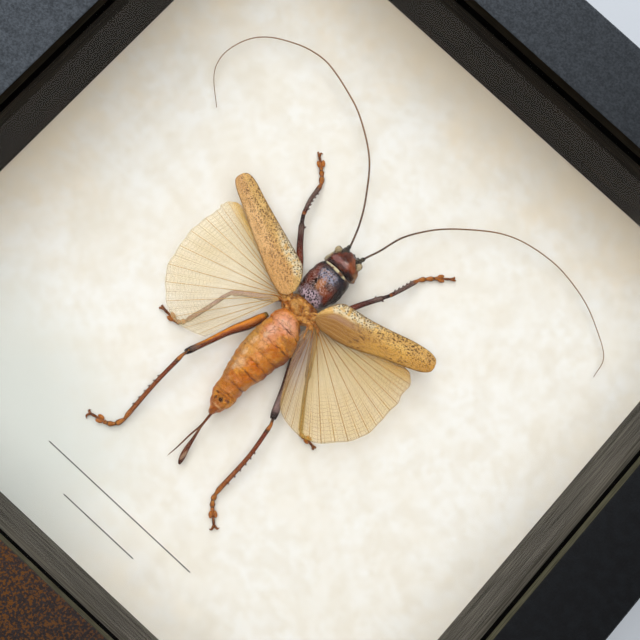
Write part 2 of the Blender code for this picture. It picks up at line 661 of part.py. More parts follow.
def build_insect():
    build_body()
    build_valve("ovipositor_blade", OVIPOSITOR_BLADE, BLADE_ROWS)
    build_valve("ovipositor_stylet", OVIPOSITOR_STYLET, STYLET_ROWS)
    build_forewing("forewing_left", LEFT_FOREWING)
    build_forewing("forewing_right", RIGHT_FOREWING)
    build_hindwing("hindwing_left", LEFT_HIND_ROOT, LEFT_HIND_MARGIN)
    build_hindwing("hindwing_right", RIGHT_HIND_ROOT, RIGHT_HIND_MARGIN)
    for name, leg in LEGS.items():
        build_leg(name, leg)
    build_antenna("antenna_left", LEFT_ANTENNA)
    build_antenna("antenna_right", RIGHT_ANTENNA)


def main():
    clear_scene()
    build_case()
    build_insect()


main()
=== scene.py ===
# %% [markdown]
# # A katydid in a shadow box
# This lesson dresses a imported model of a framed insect. The model is loaded as a fixed frame: its
# solids give every place and size, in metres, with the case lying on its back and the katydid's
# head towards +Y. The steps go from the outside in: camera and light, the case, then the insect
# from its body to its wings, legs and antennae.

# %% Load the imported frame
import math

import bpy
import numpy as np
from mathutils import Matrix, Vector


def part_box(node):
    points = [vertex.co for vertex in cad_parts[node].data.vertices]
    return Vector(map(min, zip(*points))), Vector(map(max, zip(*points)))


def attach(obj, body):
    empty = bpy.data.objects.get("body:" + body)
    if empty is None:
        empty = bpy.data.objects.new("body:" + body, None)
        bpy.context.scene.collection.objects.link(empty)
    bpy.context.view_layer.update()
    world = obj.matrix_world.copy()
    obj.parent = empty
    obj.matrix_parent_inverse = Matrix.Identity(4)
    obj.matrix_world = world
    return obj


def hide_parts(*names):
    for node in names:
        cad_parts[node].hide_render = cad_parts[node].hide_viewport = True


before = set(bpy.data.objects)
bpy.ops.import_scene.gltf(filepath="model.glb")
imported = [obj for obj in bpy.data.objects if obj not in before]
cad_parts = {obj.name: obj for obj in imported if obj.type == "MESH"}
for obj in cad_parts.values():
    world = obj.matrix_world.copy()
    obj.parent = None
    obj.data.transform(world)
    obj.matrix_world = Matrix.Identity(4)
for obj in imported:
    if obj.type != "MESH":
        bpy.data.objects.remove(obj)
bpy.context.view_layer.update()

# %% [markdown]
# The photograph was taken from above, a little below the middle of the case and turned by 43
# degrees, so the frame's corners fall at the picture's edges. A camera is set by its place and by
# a matrix whose columns are its right, up and backward directions. The lens follows from the
# view's width: 926 pixels of focal length on a 640 pixel picture is 52 mm on a 36 mm sensor.

# %% Camera
MM = 0.001
paper_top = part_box("backing_paper")[1].z
camera_place = Vector((0.0155, -0.0338, paper_top + 0.2975))
right = Vector((0.73704, 0.67258, 0.06633))
up = Vector((-0.67518, 0.72840, 0.11648))
back = right.cross(up)
camera_data = bpy.data.cameras.new("camera")
FOCAL_PIXELS, PICTURE_PIXELS, SENSOR_WIDTH = 926.0, 640.0, 36.0
camera_data.lens = FOCAL_PIXELS / PICTURE_PIXELS * SENSOR_WIDTH
camera_data.clip_start = 0.01
camera = bpy.data.objects.new("camera", camera_data)
camera.matrix_world = Matrix.Translation(camera_place) @ Matrix((right, up, back)).transposed().to_4x4()
bpy.context.scene.collection.objects.link(camera)
bpy.context.scene.camera = camera
bpy.context.view_layer.update()
print("camera at", [round(v * 1000) for v in camera_place], "mm")

# %% [markdown]
# The shadows in the photograph are faint and tan, so three soft lights share the work: a large
# panel straight above does most of it, a dim warm sky fills in, and a smaller window panel up and
# to the left gives the shadows their side and the shells their small highlights. The window panel
# stays outside the cone that the glass mirrors towards the camera. The panel above is hidden from
# reflections and the sky is dim, so the glass looks clear and the dark shells keep their depth.

# %% Lights and floor
PANEL_PLACE = Vector((-0.95, 0.80, 1.05))
panel_data = bpy.data.lights.new("window_panel", "AREA")
panel_data.shape = "RECTANGLE"
panel_data.size = 0.70
panel_data.size_y = 0.45
panel_data.energy = 4.5
panel_data.color = (0.97, 0.985, 1.0)
panel = bpy.data.objects.new("window_panel", panel_data)
panel.location = PANEL_PLACE
panel.rotation_mode = "QUATERNION"
panel.rotation_quaternion = (-PANEL_PLACE).to_track_quat("-Z", "Y")
bpy.context.scene.collection.objects.link(panel)

above_data = bpy.data.lights.new("panel_above", "AREA")
above_data.size = 1.8
above_data.energy = 15.3
above_data.color = (1.0, 0.985, 0.955)
above = bpy.data.objects.new("panel_above", above_data)
above.location = (-0.15, 0.10, 1.5)
above.visible_glossy = False
bpy.context.scene.collection.objects.link(above)

world = bpy.data.worlds.new("soft_sky")
bpy.context.scene.world = world
world.use_nodes = True
sky = world.node_tree
towards_window = sky.nodes.new("ShaderNodeVectorMath")
towards_window.operation = "DOT_PRODUCT"
towards_window.inputs[1].default_value = (-0.78, 0.48, 0.0)
sky.links.new(sky.nodes.new("ShaderNodeTexCoord").outputs["Generated"], towards_window.inputs[0])
glow = sky.nodes.new("ShaderNodeMapRange")
glow.interpolation_type = "SMOOTHSTEP"
for socket, value in zip(("From Min", "From Max", "To Min", "To Max"), (-0.60, 0.70, 0.13, 0.38)):
    glow.inputs[socket].default_value = value
sky.links.new(towards_window.outputs["Value"], glow.inputs["Value"])
sky.nodes["Background"].inputs["Color"].default_value = (1.0, 0.975, 0.94, 1.0)
sky.links.new(glow.outputs["Result"], sky.nodes["Background"].inputs["Strength"])
bpy.context.scene.view_settings.view_transform = "Standard"

bpy.ops.object.select_all(action="DESELECT")
bpy.ops.mesh.primitive_plane_add(size=6.0, location=(0.0, 0.0, 0.0))
floor = bpy.context.active_object
floor.name = "floor"
print("window panel", round(PANEL_PLACE.length, 2), "m away")

# %% [markdown]
# Materials are built from nodes. Small helpers keep that short: one adds a node and feeds its
# inputs, one lays a colour over another through a mask, others do sums on masks, and one starts a
# finish with its Principled shader. Constant values are set on the shader's own sockets. Patterns
# are measured in millimetres, so the Object coordinates, which are metres, are scaled by a thousand.

# %% Node helpers
def tone(red, green, blue):
    """A colour as seen on a screen, 0 to 255, turned into the linear values that shaders use."""
    linear = [((v / 255 + 0.055) / 1.055) ** 2.4 if v > 10 else v / 255 / 12.92
              for v in (red, green, blue)]
    return (*linear, 1.0)


def add(kind, feeds=None, out=0, tree=None, **options):
    """Add a shader node, set its options, feed its inputs and return one output.

    The node goes into the tree that its feeds come from, unless a tree is given."""
    tree = tree or next(v.id_data for v in feeds.values() if isinstance(v, bpy.types.NodeSocket))
    made = tree.nodes.new("ShaderNode" + kind)
    for option, value in options.items():
        setattr(made, option, value)
    for key, value in (feeds or {}).items():
        if isinstance(value, bpy.types.NodeSocket):
            tree.links.new(value, made.inputs[key])
        else:
            made.inputs[key].default_value = value
    return made.outputs[out]


def math_node(operation, first, second=0.0, third=0.0):
    return add("Math", {0: first, 1: second, 2: third}, operation=operation)


def times(first, *others):
    """Multiply values."""
    for other in others:
        first = math_node("MULTIPLY", first, other)
    return first


def gap(first, second):
    """How far apart two values are."""
    return math_node("ABSOLUTE", math_node("SUBTRACT", first, second))


def ramp(value, low, high, start=0.0, end=1.0):
    """Turn a value between low and high into one between start and end, with soft ends."""
    return add("MapRange", {0: value, 1: low, 2: high, 3: start, 4: end},
               interpolation_type="SMOOTHSTEP")


def fade(value, low, high):
    """The reverse: 1 up to low, and 0 from high on."""
    return ramp(value, low, high, 1.0, 0.0)


def lay(mask, below, above, strength=None, blend="MIX"):
    """Lay one colour over another where the mask is 1, or more thinly at a lower strength."""
    if strength is not None:
        mask = times(mask, strength)
    return add("Mix", {0: mask, 6: below, 7: above}, out=2, data_type="RGBA", blend_type=blend)


def noise(place, scale, detail, distortion=0.0):
    return add("TexNoise", {"Vector": place, "Scale": scale, "Detail": detail,
                            "Distortion": distortion})


def cell_dots(place, scale):
    """Distance to the nearest of many scattered points, the same at every height."""
    return add("TexVoronoi", {"Vector": place, "Scale": scale}, feature="F1", voronoi_dimensions="2D")


def axes(place):
    """The three coordinates of a place, one by one."""
    split = add("SeparateXYZ", {0: place}).node
    return split.outputs["X"], split.outputs["Y"], split.outputs["Z"]


def finish(name, roughness, **plain):
    """Start a material. Returns it with its shader and its place in millimetres."""
    made = bpy.data.materials.new(name)
    made.use_nodes = True
    shader = made.node_tree.nodes["Principled BSDF"]
    shader.inputs["Roughness"].default_value = roughness
    for socket, value in plain.items():
        shader.inputs[socket.replace("_", " ")].default_value = value
    metres = add("TexCoord", tree=made.node_tree, out="Object")
    place = add("VectorMath", {0: metres, "Scale": 1000.0}, operation="SCALE")
    return made, shader, place


def colour_in(shader, colour, socket="Base Color"):
    """Feed a colour, or any other value, to the shader."""
    shader.id_data.links.new(colour, shader.inputs[socket])


def bump(shader, height, depth, strength=1.0):
    """Feed a Bump node whose depth is in millimetres."""
    normal = add("Bump", {"Height": height, "Distance": depth * MM, "Strength": strength})
    colour_in(shader, normal, "Normal")


print("helpers ready")

# %% [markdown]
# Effects that many finishes share are node groups. A soft patch marks a blob around a point, with
# a ragged edge, which is how most colour fields lie on an insect. A mottle is plain noise cut
# between two levels. Pebbles are small round bumps, a network marks the borders between cells,
# and a grain is noise drawn out along X. Lines are thin stripes at even steps of any value, such
# as an angle. Groups give out only masks and heights; shaders stay outside.

# %% Shared node groups
def start_group(name, inputs, outputs):
    tree = bpy.data.node_groups.new(name, "ShaderNodeTree")
    for label, value in inputs.items():
        kind = "NodeSocketVector" if isinstance(value, tuple) else "NodeSocketFloat"
        socket = tree.interface.new_socket(name=label, in_out="INPUT", socket_type=kind)
        socket.default_value = value
    for label in outputs:
        tree.interface.new_socket(name=label, in_out="OUTPUT", socket_type="NodeSocketFloat")
    given = tree.nodes.new("NodeGroupInput").outputs
    result = tree.nodes.new("NodeGroupOutput").inputs
    return tree, given, result


def use(group, feeds):
    """Place a shared group in a material."""
    return add("Group", feeds, node_tree=bpy.data.node_groups[group])


def mottle(place, scale, low=0.4, high=0.6, detail=3.0):
    return use("mottle", {"Place": place, "Scale": scale, "Low": low, "High": high, "Detail": detail})


def network(place, scale, width):
    return use("network", {"Place": place, "Scale": scale, "Width": width})


def lines(value, step, width):
    return use("lines", {"Value": value, "Step": step, "Width": width})


tree, given, result = start_group("soft_patch", {"Place": (0.0, 0.0, 0.0), "Centre": (0.0, 0.0, 0.0),
                                                 "Size": (1.0, 1.0, 1.0), "Ragged": 0.4,
                                                 "Grain": 0.5, "Edge": 0.3}, ["Mask"])
away = add("VectorMath", {0: given["Place"], 1: given["Centre"]}, operation="SUBTRACT")
away = add("VectorMath", {0: away, 1: given["Size"]}, operation="DIVIDE")
away = add("VectorMath", {0: away}, out="Value", operation="LENGTH")
grain = noise(given["Place"], given["Grain"], 3.0)
grain = math_node("SUBTRACT", grain, 0.5)
away = math_node("MULTIPLY_ADD", grain, given["Ragged"], away)
low = math_node("SUBTRACT", 1.0, given["Edge"])
high = math_node("ADD", 1.0, given["Edge"])
tree.links.new(fade(away, low, high), result["Mask"])

tree, given, result = start_group("mottle", {"Place": (0.0, 0.0, 0.0), "Scale": 1.0, "Low": 0.4,
                                             "High": 0.6, "Detail": 3.0}, ["Mask"])
grain = noise(given["Place"], given["Scale"], given["Detail"])
tree.links.new(ramp(grain, given["Low"], given["High"]), result["Mask"])

tree, given, result = start_group("pebbles", {"Place": (0.0, 0.0, 0.0), "Scale": 1.0}, ["Height"])
cells = add("TexVoronoi", {"Vector": given["Place"], "Scale": given["Scale"]}, feature="F1")
grain = noise(given["Place"], given["Scale"], 4.0)
height = math_node("SUBTRACT", 1.0, cells)
tree.links.new(math_node("MULTIPLY_ADD", grain, 0.8, height), result["Height"])

tree, given, result = start_group("network", {"Place": (0.0, 0.0, 0.0), "Scale": 1.0,
                                              "Width": 0.1}, ["Mask"])
cells = add("TexVoronoi", {"Vector": given["Place"], "Scale": given["Scale"]},
            feature="DISTANCE_TO_EDGE")
half = times(given["Width"], 0.4)
tree.links.new(fade(cells, half, given["Width"]), result["Mask"])

tree, given, result = start_group("lines", {"Value": 0.0, "Step": 1.0, "Width": 0.1}, ["Mask"])
turns = math_node("DIVIDE", given["Value"], given["Step"])
part = math_node("FRACT", turns)
part = math_node("SUBTRACT", part, 0.5)
part = math_node("ABSOLUTE", part)
near = math_node("SUBTRACT", 0.5, part)
near = times(near, given["Step"])
half = times(given["Width"], 0.3)
tree.links.new(fade(near, half, given["Width"]), result["Mask"])

tree, given, result = start_group("grain", {"Place": (0.0, 0.0, 0.0), "Scale": 1.0}, ["Mask"])
long = add("VectorMath", {0: given["Place"], 1: (0.045, 1.0, 1.0)}, operation="MULTIPLY")
fine = noise(long, given["Scale"], 5.0, 0.4)
tree.links.new(ramp(fine, 0.33, 0.67), result["Mask"])
print("groups:", sorted(g.name for g in bpy.data.node_groups))

# %% [markdown]
# The rails and the liner run along X on two sides of the case and along Y on the other two. Their
# wood grain has to follow. The sides can be told apart by place alone: on the top and bottom
# sides a point is farther from the middle in Y than in X. This group swaps X and Y where needed.

# %% Coordinates that run along each side of the case
tree, given, _ = start_group("along_side", {"Place": (0.0, 0.0, 0.0)}, [])
tree.interface.new_socket(name="Run", in_out="OUTPUT", socket_type="NodeSocketVector")
x, y, z = axes(given["Place"])
upright = math_node("GREATER_THAN", math_node("ABSOLUTE", x), math_node("ABSOLUTE", y))
straight = add("CombineXYZ", {0: x, 1: y, 2: z})
turned = add("CombineXYZ", {0: y, 1: x, 2: z})
run = add("Mix", {0: upright, 4: straight, 5: turned}, out=1, data_type="VECTOR")
tree.links.new(run, tree.nodes["Group Output"].inputs["Run"])
print("along_side ready")

# %% [markdown]
# The frame's face is covered in a black foil with a fine pebble, so it never shows a clean
# reflection: it breaks into specks. The pebble goes into the bump, and the colour changes only a
# little from speck to speck. A painted sheen makes the foil lighter and bluer towards the upper left
# rail. Along the lower left rail a painted warm reflection lies in the foil, a brown wash with golden
# specks. The lip and the liner are the same dark stained wood, with painted shade that makes the
# sides at the top darker and browner, and painted light that makes the sides at the bottom greyer
# and lighter.

# %% Finishes of the case
pebbled_black, shader, place = finish("pebbled_black", 0.5, Specular_IOR_Level=0.22)
fine = use("pebbles", {"Place": place, "Scale": 2.2})
specks = mottle(place, 1.5, 0.3, 0.72, 2.0)
clouds = mottle(place, 0.35, 0.35, 0.7)
x, y, z = axes(place)
# Painted sheen: the foil turns lighter and bluer towards the upper left rail, as a painted reflection.
painted_sheen = ramp(math_node("SUBTRACT", times(y, 0.3), x), -120.0, 150.0)
colour = lay(painted_sheen, tone(24, 25, 28), tone(94, 102, 112))
colour = lay(specks, colour, tone(20, 22, 25), 0.5)
colour = lay(clouds, colour, tone(34, 39, 44), 0.3)
# Painted reflection: a warm brown wash with golden specks along the lower left rail.
warm_reflection = times(fade(y, -102.0, -101.0), fade(x, -40.0, 70.0))
reflection_specks = mottle(place, 1.6, 0.46, 0.6)
colour = lay(times(warm_reflection, reflection_specks), colour, tone(140, 88, 30))
colour = lay(warm_reflection, colour, tone(66, 36, 14), 0.45)
colour_in(shader, colour)
colour_in(shader, ramp(specks, 0.0, 1.0, 0.42, 0.56), "Roughness")
bump(shader, fine, 0.16, 0.7)


# Heights above the back, in millimetres, where the liner is painted black as the slot's shadow.
SLOT_BOTTOM, SLOT_TOP = (39.30, 39.42), (39.60, 39.70)


def wood(name, dark, light, scale):
    made, shader, place = finish(name, 0.62, Specular_IOR_Level=0.03)
    run = use("along_side", {"Place": place})
    fine = use("grain", {"Place": run, "Scale": scale})
    streaks = use("grain", {"Place": run, "Scale": scale * 0.25})
    colour = lay(fine, dark, light)
    colour = lay(streaks, colour, dark, 0.5)
    x, y, z = axes(place)
    # Painted light and shade: the sides at the top are darkened and browned, the sides at the bottom
    # lightened.
    lower = ramp(math_node("SUBTRACT", x, y), -70.0, 70.0)
    shade = lay(lower, (0.15, 0.118, 0.09, 1.0), (1.2, 1.24, 1.22, 1.0))
    colour = lay(1.0, colour, shade, blend="MULTIPLY")
    # The liner's face inside the slot is painted black as the slot's shadow.
    slot_shadow = times(ramp(z, *SLOT_BOTTOM), fade(z, *SLOT_TOP))
    colour_in(shader, lay(slot_shadow, colour, (0.002, 0.002, 0.002, 1.0)))
    bump(shader, fine, 0.05, 0.4)
    return made


stained_wood = wood("stained_wood", tone(44, 40, 36), tone(102, 96, 88), 1.2)
lip_wood = wood("lip_wood", tone(64, 61, 48), tone(108, 103, 82), 2.0)
# Painted shadow: a near-black finish for the inside of the rebate and for the corner keys.
shadow_black, shader, place = finish("shadow_black", 0.9, Specular_IOR_Level=0.0)
shadow_mottle = mottle(place, 1.0)
colour_in(shader, lay(shadow_mottle, (0.0015, 0.0015, 0.0015, 1.0), (0.003, 0.003, 0.003, 1.0)))
print("case finishes:", pebbled_black.name, stained_wood.name, lip_wood.name)

# %% [markdown]
# A rail is a mitred length of moulding. It starts as a flat strip, the face. Extruding the strip
# gives the lip's thickness, and extruding only its outer part gives the deep side behind it, which
# leaves the rebate for the glass. Two slanted bisect cuts make the mitres, and a bevel rounds the
# face's edges. The inside of the rebate is painted near-black as painted shadow, so the slot under
# the lip reads as a dark line. The other three rails are copies, each turned by a quarter.

# %% Rails
rail_low, rail_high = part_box("rail_top")
HALF_OUTER = rail_high.y
FACE_WIDTH = rail_high.y - rail_low.y
RAIL_HEIGHT = rail_high.z
REBATE = 8.0 * MM
LIP_DEPTH = 4.5 * MM
MITRE_GAP = 0.3 * MM / math.sqrt(2)
OUTER_ROUND, INNER_ROUND = 1.2 * MM, 0.4 * MM
NEARLY = 0.1 * MM
SMOOTH_ANGLE = math.radians(40)
SIDES = ("top", "left", "bottom", "right")


def select_where(test, kind="VERT"):
    """In edit mode, select what passes a test on its place. Faces and edges are tested at their middle."""
    bpy.ops.mesh.select_mode(type=kind)
    bpy.ops.mesh.select_all(action="DESELECT")
    bpy.ops.object.mode_set(mode="OBJECT")
    mesh = bpy.context.active_object.data
    spots = {"VERT": mesh.vertices, "EDGE": mesh.edges, "FACE": mesh.polygons}[kind]
    for spot in spots:
        if kind == "VERT":
            middle = spot.co
        else:
            corners = [mesh.vertices[i].co for i in spot.vertices]
            middle = sum(corners, Vector()) / len(corners)
        spot.select = bool(test(middle, spot))
    bpy.ops.object.mode_set(mode="EDIT")


def pick(piece):
    """Select one object alone and make it the active one."""
    bpy.ops.object.select_all(action="DESELECT")
    piece.select_set(True)
    bpy.context.view_layer.objects.active = piece


def apply_place(piece):
    """Move an object's place into its mesh, so that the object sits at the origin."""
    pick(piece)
    bpy.ops.object.transform_apply(location=True, rotation=True, scale=True)


def edit_all():
    """Enter edit mode with everything selected."""
    bpy.ops.object.mode_set(mode="EDIT")
    bpy.ops.mesh.select_all(action="SELECT")


def quarter_copies(piece, names):
    """Copy a piece round the case, each copy turned by a quarter more, and drop the piece."""
    copies = []
    for quarter, name in enumerate(names):
        copy = bpy.data.objects.new(name, piece.data.copy())
        bpy.context.scene.collection.objects.link(copy)
        copy.rotation_euler.z = quarter * math.pi / 2
        apply_place(copy)
        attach(copy, "root")
        copies.append(copy)
    bpy.data.objects.remove(piece)
    return copies


def apply_modifier(piece, kind, **settings):
    bpy.context.view_layer.objects.active = piece
    made = piece.modifiers.new(kind.lower(), kind)
    for key, value in settings.items():
        setattr(made, key, value)
    bpy.ops.object.modifier_apply(modifier=made.name)


def tidy_mesh(weld=0.0):
    """In edit mode, weld doubles if asked and turn all faces outwards."""
    bpy.ops.mesh.select_all(action="SELECT")
    if weld:
        bpy.ops.mesh.remove_doubles(threshold=weld)
    bpy.ops.mesh.normals_make_consistent(inside=False)


bpy.ops.object.select_all(action="DESELECT")
face_middle = HALF_OUTER - FACE_WIDTH / 2
bpy.ops.mesh.primitive_plane_add(size=1.0, location=(0.0, face_middle, RAIL_HEIGHT))
rail = bpy.context.active_object
rail.scale = (2 * HALF_OUTER, FACE_WIDTH, 1.0)
apply_place(rail)
edit_all()
bpy.ops.mesh.bisect(plane_co=(0, HALF_OUTER - FACE_WIDTH + REBATE, 0), plane_no=(0, 1, 0))
bpy.ops.mesh.select_all(action="SELECT")
bpy.ops.mesh.extrude_region_move(TRANSFORM_OT_translate={"value": (0, 0, -LIP_DEPTH)})
lip_back = RAIL_HEIGHT - LIP_DEPTH
select_where(lambda middle, face: middle.y > face_middle - FACE_WIDTH / 2 + REBATE
             and abs(middle.z - lip_back) < NEARLY and abs(face.normal.z) > 0.9, "FACE")
bpy.ops.mesh.extrude_region_move(TRANSFORM_OT_translate={"value": (0, 0, -lip_back)})
for side in (-1, 1):
    bpy.ops.mesh.select_all(action="SELECT")
    bpy.ops.mesh.bisect(plane_co=(-side * MITRE_GAP, 0, 0), plane_no=(side, -1, 0), clear_outer=True,
                        use_fill=True)
tidy_mesh(0.001 * MM)
for edge_y, radius, segments in ((HALF_OUTER, OUTER_ROUND, 5), (HALF_OUTER - FACE_WIDTH, INNER_ROUND, 3)):
    select_where(lambda middle, edge: abs(middle.z - RAIL_HEIGHT) < NEARLY
                 and abs(middle.y - edge_y) < NEARLY, "EDGE")
    bpy.ops.mesh.bevel(offset=radius, segments=segments)
bpy.ops.object.mode_set(mode="OBJECT")
for material in (pebbled_black, lip_wood, shadow_black):
    rail.data.materials.append(material)
# The lip's inner edge gets the lip wood, and the rebate's inside faces get the painted shadow black.
for polygon in rail.data.polygons:
    inward = HALF_OUTER - polygon.center.y
    if abs(inward - FACE_WIDTH) < NEARLY / 2:
        polygon.material_index = 1
    elif inward > 10 * NEARLY and polygon.center.z < lip_back + NEARLY and polygon.normal.y < 0.1:
        polygon.material_index = 2
bpy.ops.object.shade_smooth_by_angle(angle=SMOOTH_ANGLE)
for side, copy in zip(SIDES, quarter_copies(rail, [f"rail_{side}_moulding" for side in SIDES])):
    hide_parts("rail_" + side)
print("rails:", [round(v * 1000, 1) for v in (FACE_WIDTH, RAIL_HEIGHT)], "mm wide and deep")

# %% [markdown]
# Frame makers let a thin key into both ends of a mitre, which holds the corner and closes the joint.
# Without it, light from inside the case would show through as a bright line. The key is a cube,
# scaled to a thin plate and turned by an eighth. It stays under the face and behind the outer
# corner, so that the joint still reads as a fine groove. The other three are turned copies.

# %% Corner keys
KEY_THICKNESS = 0.28 * MM
KEY_SETBACK = 0.4 * MM
key_inner, key_outer = HALF_OUTER - FACE_WIDTH + REBATE + KEY_SETBACK, HALF_OUTER - KEY_SETBACK
key_middle = (key_inner + key_outer) / 2
key_length = (key_outer - key_inner) * math.sqrt(2)
bpy.ops.object.select_all(action="DESELECT")
bpy.ops.mesh.primitive_cube_add(size=1.0, location=(key_middle, key_middle, RAIL_HEIGHT / 2),
                                rotation=(0, 0, math.pi / 4))
key = bpy.context.active_object
key.scale = (key_length, KEY_THICKNESS, RAIL_HEIGHT - 2 * KEY_SETBACK)
apply_place(key)
# The key gets the painted shadow black too, so the joint reads as shade.
key.data.materials.append(shadow_black)
quarter_copies(key, [f"corner_key_{number}" for number in (1, 2, 3, 4)])
print("corner keys:", round(key_length / MM, 1), "mm long")

# %% [markdown]
# The liner, the paper, the back panel and the glass are flat boards in the real case too, so their
# solids stay and only get finishes. The paper is cream with cloudy mottling that turns warmer towards
# all the walls and tan towards the two walls at the top. That tan is part staining and part painted
# shade of those walls. A grey-green patch at the lower left is a painted reflection of the glass.
# The paper carries two plain printed rules where a label line would stand. The glass is a
# clear shader, mixed with a transparent one for light rays only, so that it doesn't shade the case.

# %% Liner, paper, panel and glass
aged_paper, shader, place = finish("aged_paper", 0.9)
x, y, z = axes(place)
reach = math_node("MAXIMUM", math_node("ABSOLUTE", x), math_node("ABSOLUTE", y))
clouds = add("TexNoise", {"Vector": place, "Scale": 0.06, "Detail": 5.0, "Roughness": 0.65})
wander = math_node("SUBTRACT", clouds, 0.5)
upper = math_node("MAXIMUM", times(x, -0.93), y)
edge = ramp(math_node("MULTIPLY_ADD", wander, 45.0, reach), 88.0, 106.0)
stain_and_wall_shade = ramp(math_node("MULTIPLY_ADD", wander, 60.0, upper), 66.0, 104.0)
colour = lay(mottle(place, 0.07, 0.35, 0.7), tone(237, 236, 232), tone(234, 230, 221))
fibres = mottle(place, 0.3, 0.35, 0.75, 5.0)
colour = lay(fibres, colour, tone(227, 221, 207), 0.45)
blots = mottle(place, 0.16, 0.44, 0.64, 4.0)
colour = lay(blots, colour, tone(221, 213, 197), 0.3)
colour = lay(edge, colour, tone(242, 234, 218), 0.6)
# Tan towards the two walls at the top: part staining, part painted shade of those walls.
colour = lay(stain_and_wall_shade, colour, tone(242, 221, 186), 0.5)
# Painted reflection of the glass: a grey-green patch on the paper at the lower left.
glass_reflection = use("soft_patch", {"Place": place, "Centre": (-62.0, -96.0, 8.0), "Size": (60.0, 40.0, 30.0),
                          "Ragged": 0.5, "Grain": 0.04, "Edge": 0.45})
colour = lay(glass_reflection, colour, tone(210, 214, 209))
flecks = mottle(place, 0.75, 0.8, 0.84)
colour = lay(flecks, colour, tone(178, 160, 128))


def printed_rule(x, y, centre, half_length, height, half_width=0.22):
    """Mask of one thin printed line along X."""
    sideways = gap(x, centre)
    away = gap(y, height)
    inside = fade(sideways, half_length - 0.3, half_length)
    return times(inside, fade(away, half_width * 0.6, half_width))


# Each rule is (centre, half length, place along Y).
RULES = ((0.0, 30.2, -80.5), (-0.6, 14.9, -89.2))
for centre, half_length, height in RULES:
    colour = lay(printed_rule(x, y, centre, half_length, height), colour, tone(62, 60, 56))
colour_in(shader, colour)
bump(shader, noise(place, 3.0, 4.0), 0.05, 0.25)

fibreboard, shader, place = finish("fibreboard", 0.85)
fibres = mottle(place, 1.4, 0.3, 0.7, 6.0)
colour_in(shader, lay(fibres, tone(118, 88, 58), tone(152, 120, 84)))
bump(shader, fibres, 0.06, 0.4)

clear_glass, shader, place = finish("clear_glass", 0.02, Transmission_Weight=1.0, IOR=1.2)
shader.inputs["Base Color"].default_value = (0.99, 0.992, 0.99, 1.0)
tree = shader.id_data
passing = tree.nodes.new("ShaderNodeBsdfTransparent")
passing.inputs["Color"].default_value = (0.96, 0.962, 0.96, 1.0)
blend = tree.nodes.new("ShaderNodeMixShader")
tree.links.new(add("LightPath", tree=tree, out="Is Shadow Ray"), blend.inputs[0])
tree.links.new(shader.outputs[0], blend.inputs[1])
tree.links.new(passing.outputs[0], blend.inputs[2])
tree.links.new(blend.outputs[0], tree.nodes["Material Output"].inputs["Surface"])


def refinish(node, material):
    """Give a carried-over solid a new material."""
    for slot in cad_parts[node].material_slots:
        slot.material = material


for side in SIDES:
    refinish("liner_" + side, stained_wood)
refinish("backing_paper", aged_paper)
refinish("back_panel", fibreboard)
refinish("glass", clear_glass)

pale_floor, shader, place = finish("pale_floor", 0.8)
shade = mottle(place, 0.02, 0.3, 0.7)
colour_in(shader, lay(shade, tone(230, 239, 251), tone(235, 243, 254)))
floor.data.materials.append(pale_floor)
print("finishes on the case:", [m.name for m in bpy.data.materials])

# %% [markdown]
# The insect's parts lie on smooth curves through a few measured points, so the next helper gives
# points on such a curve. Heights are counted from the paper. An upright oval, extruded from
# station to station along the body and stretched at each, makes the head, the pronotum, the
# thorax and the abdomen; a subdivision surface then rounds them.

# %% Helpers for bodies
def at(x, y, height):
    """A point given in millimetres, its height counted from the paper."""
    return Vector((x * MM, y * MM, paper_top + height * MM))


def through(knots, count):
    """Rows on a smooth curve through the knots, evenly spread from knot to knot."""
    knots = np.array(knots, dtype=float)
    ends = np.vstack([2 * knots[0] - knots[1], knots, 2 * knots[-1] - knots[-2]])
    rows = []
    for place in np.linspace(0, 1, count):
        along = place * (len(knots) - 1)
        first = min(int(along), len(knots) - 2)
        t = along - first
        a, b, c, d = ends[first:first + 4]
        rows.append(0.5 * (2 * b + (c - a) * t + (2 * a - 5 * b + 4 * c - d) * t ** 2
                           + (3 * b - a - 3 * c + d) * t ** 3))
    return np.array(rows)


def oval_body(name, stations, sides, material):
    """Extrude an upright oval along Y. A station is (y, middle, half width, low, high)."""
    y, middle, half_width, low, high = stations[0]
    centre = at(middle, y, (low + high) / 2)
    bpy.ops.object.select_all(action="DESELECT")
    bpy.ops.mesh.primitive_circle_add(vertices=sides, radius=1.0, fill_type="NGON", location=centre,
                                      rotation=(math.pi / 2, 0, 0))
    body = bpy.context.active_object
    body.name = name
    apply_place(body)
    edit_all()
    bpy.ops.transform.resize(value=(half_width * MM, 1.0, (high - low) / 2 * MM),
                             center_override=centre)
    for next_y, next_middle, next_half, next_low, next_high in stations[1:]:
        after = at(next_middle, next_y, (next_low + next_high) / 2)
        bpy.ops.mesh.extrude_region_move(TRANSFORM_OT_translate={"value": after - centre})
        bpy.ops.transform.resize(value=(next_half / half_width, 1.0,
                                        (next_high - next_low) / (high - low)),
                                 center_override=after)
        centre, half_width, low, high = after, next_half, next_low, next_high
    tidy_mesh()
    bpy.ops.object.mode_set(mode="OBJECT")
    body.data.materials.append(material)
    return body


def soften(piece, levels=1):
    apply_modifier(piece, "SUBSURF", levels=levels, render_levels=levels)
    pick(piece)
    bpy.ops.object.shade_smooth()


def crumple(piece, depth, size):
    """Push a shell in and out by smooth noise: depth and size of the folds in millimetres."""
    folds = bpy.data.textures.new(piece.name + "_folds", "CLOUDS")
    folds.noise_scale = size * MM
    folds.noise_depth = 2
    apply_modifier(piece, "DISPLACE", texture=folds, texture_coords="GLOBAL", strength=depth * MM,
                   mid_level=0.5)


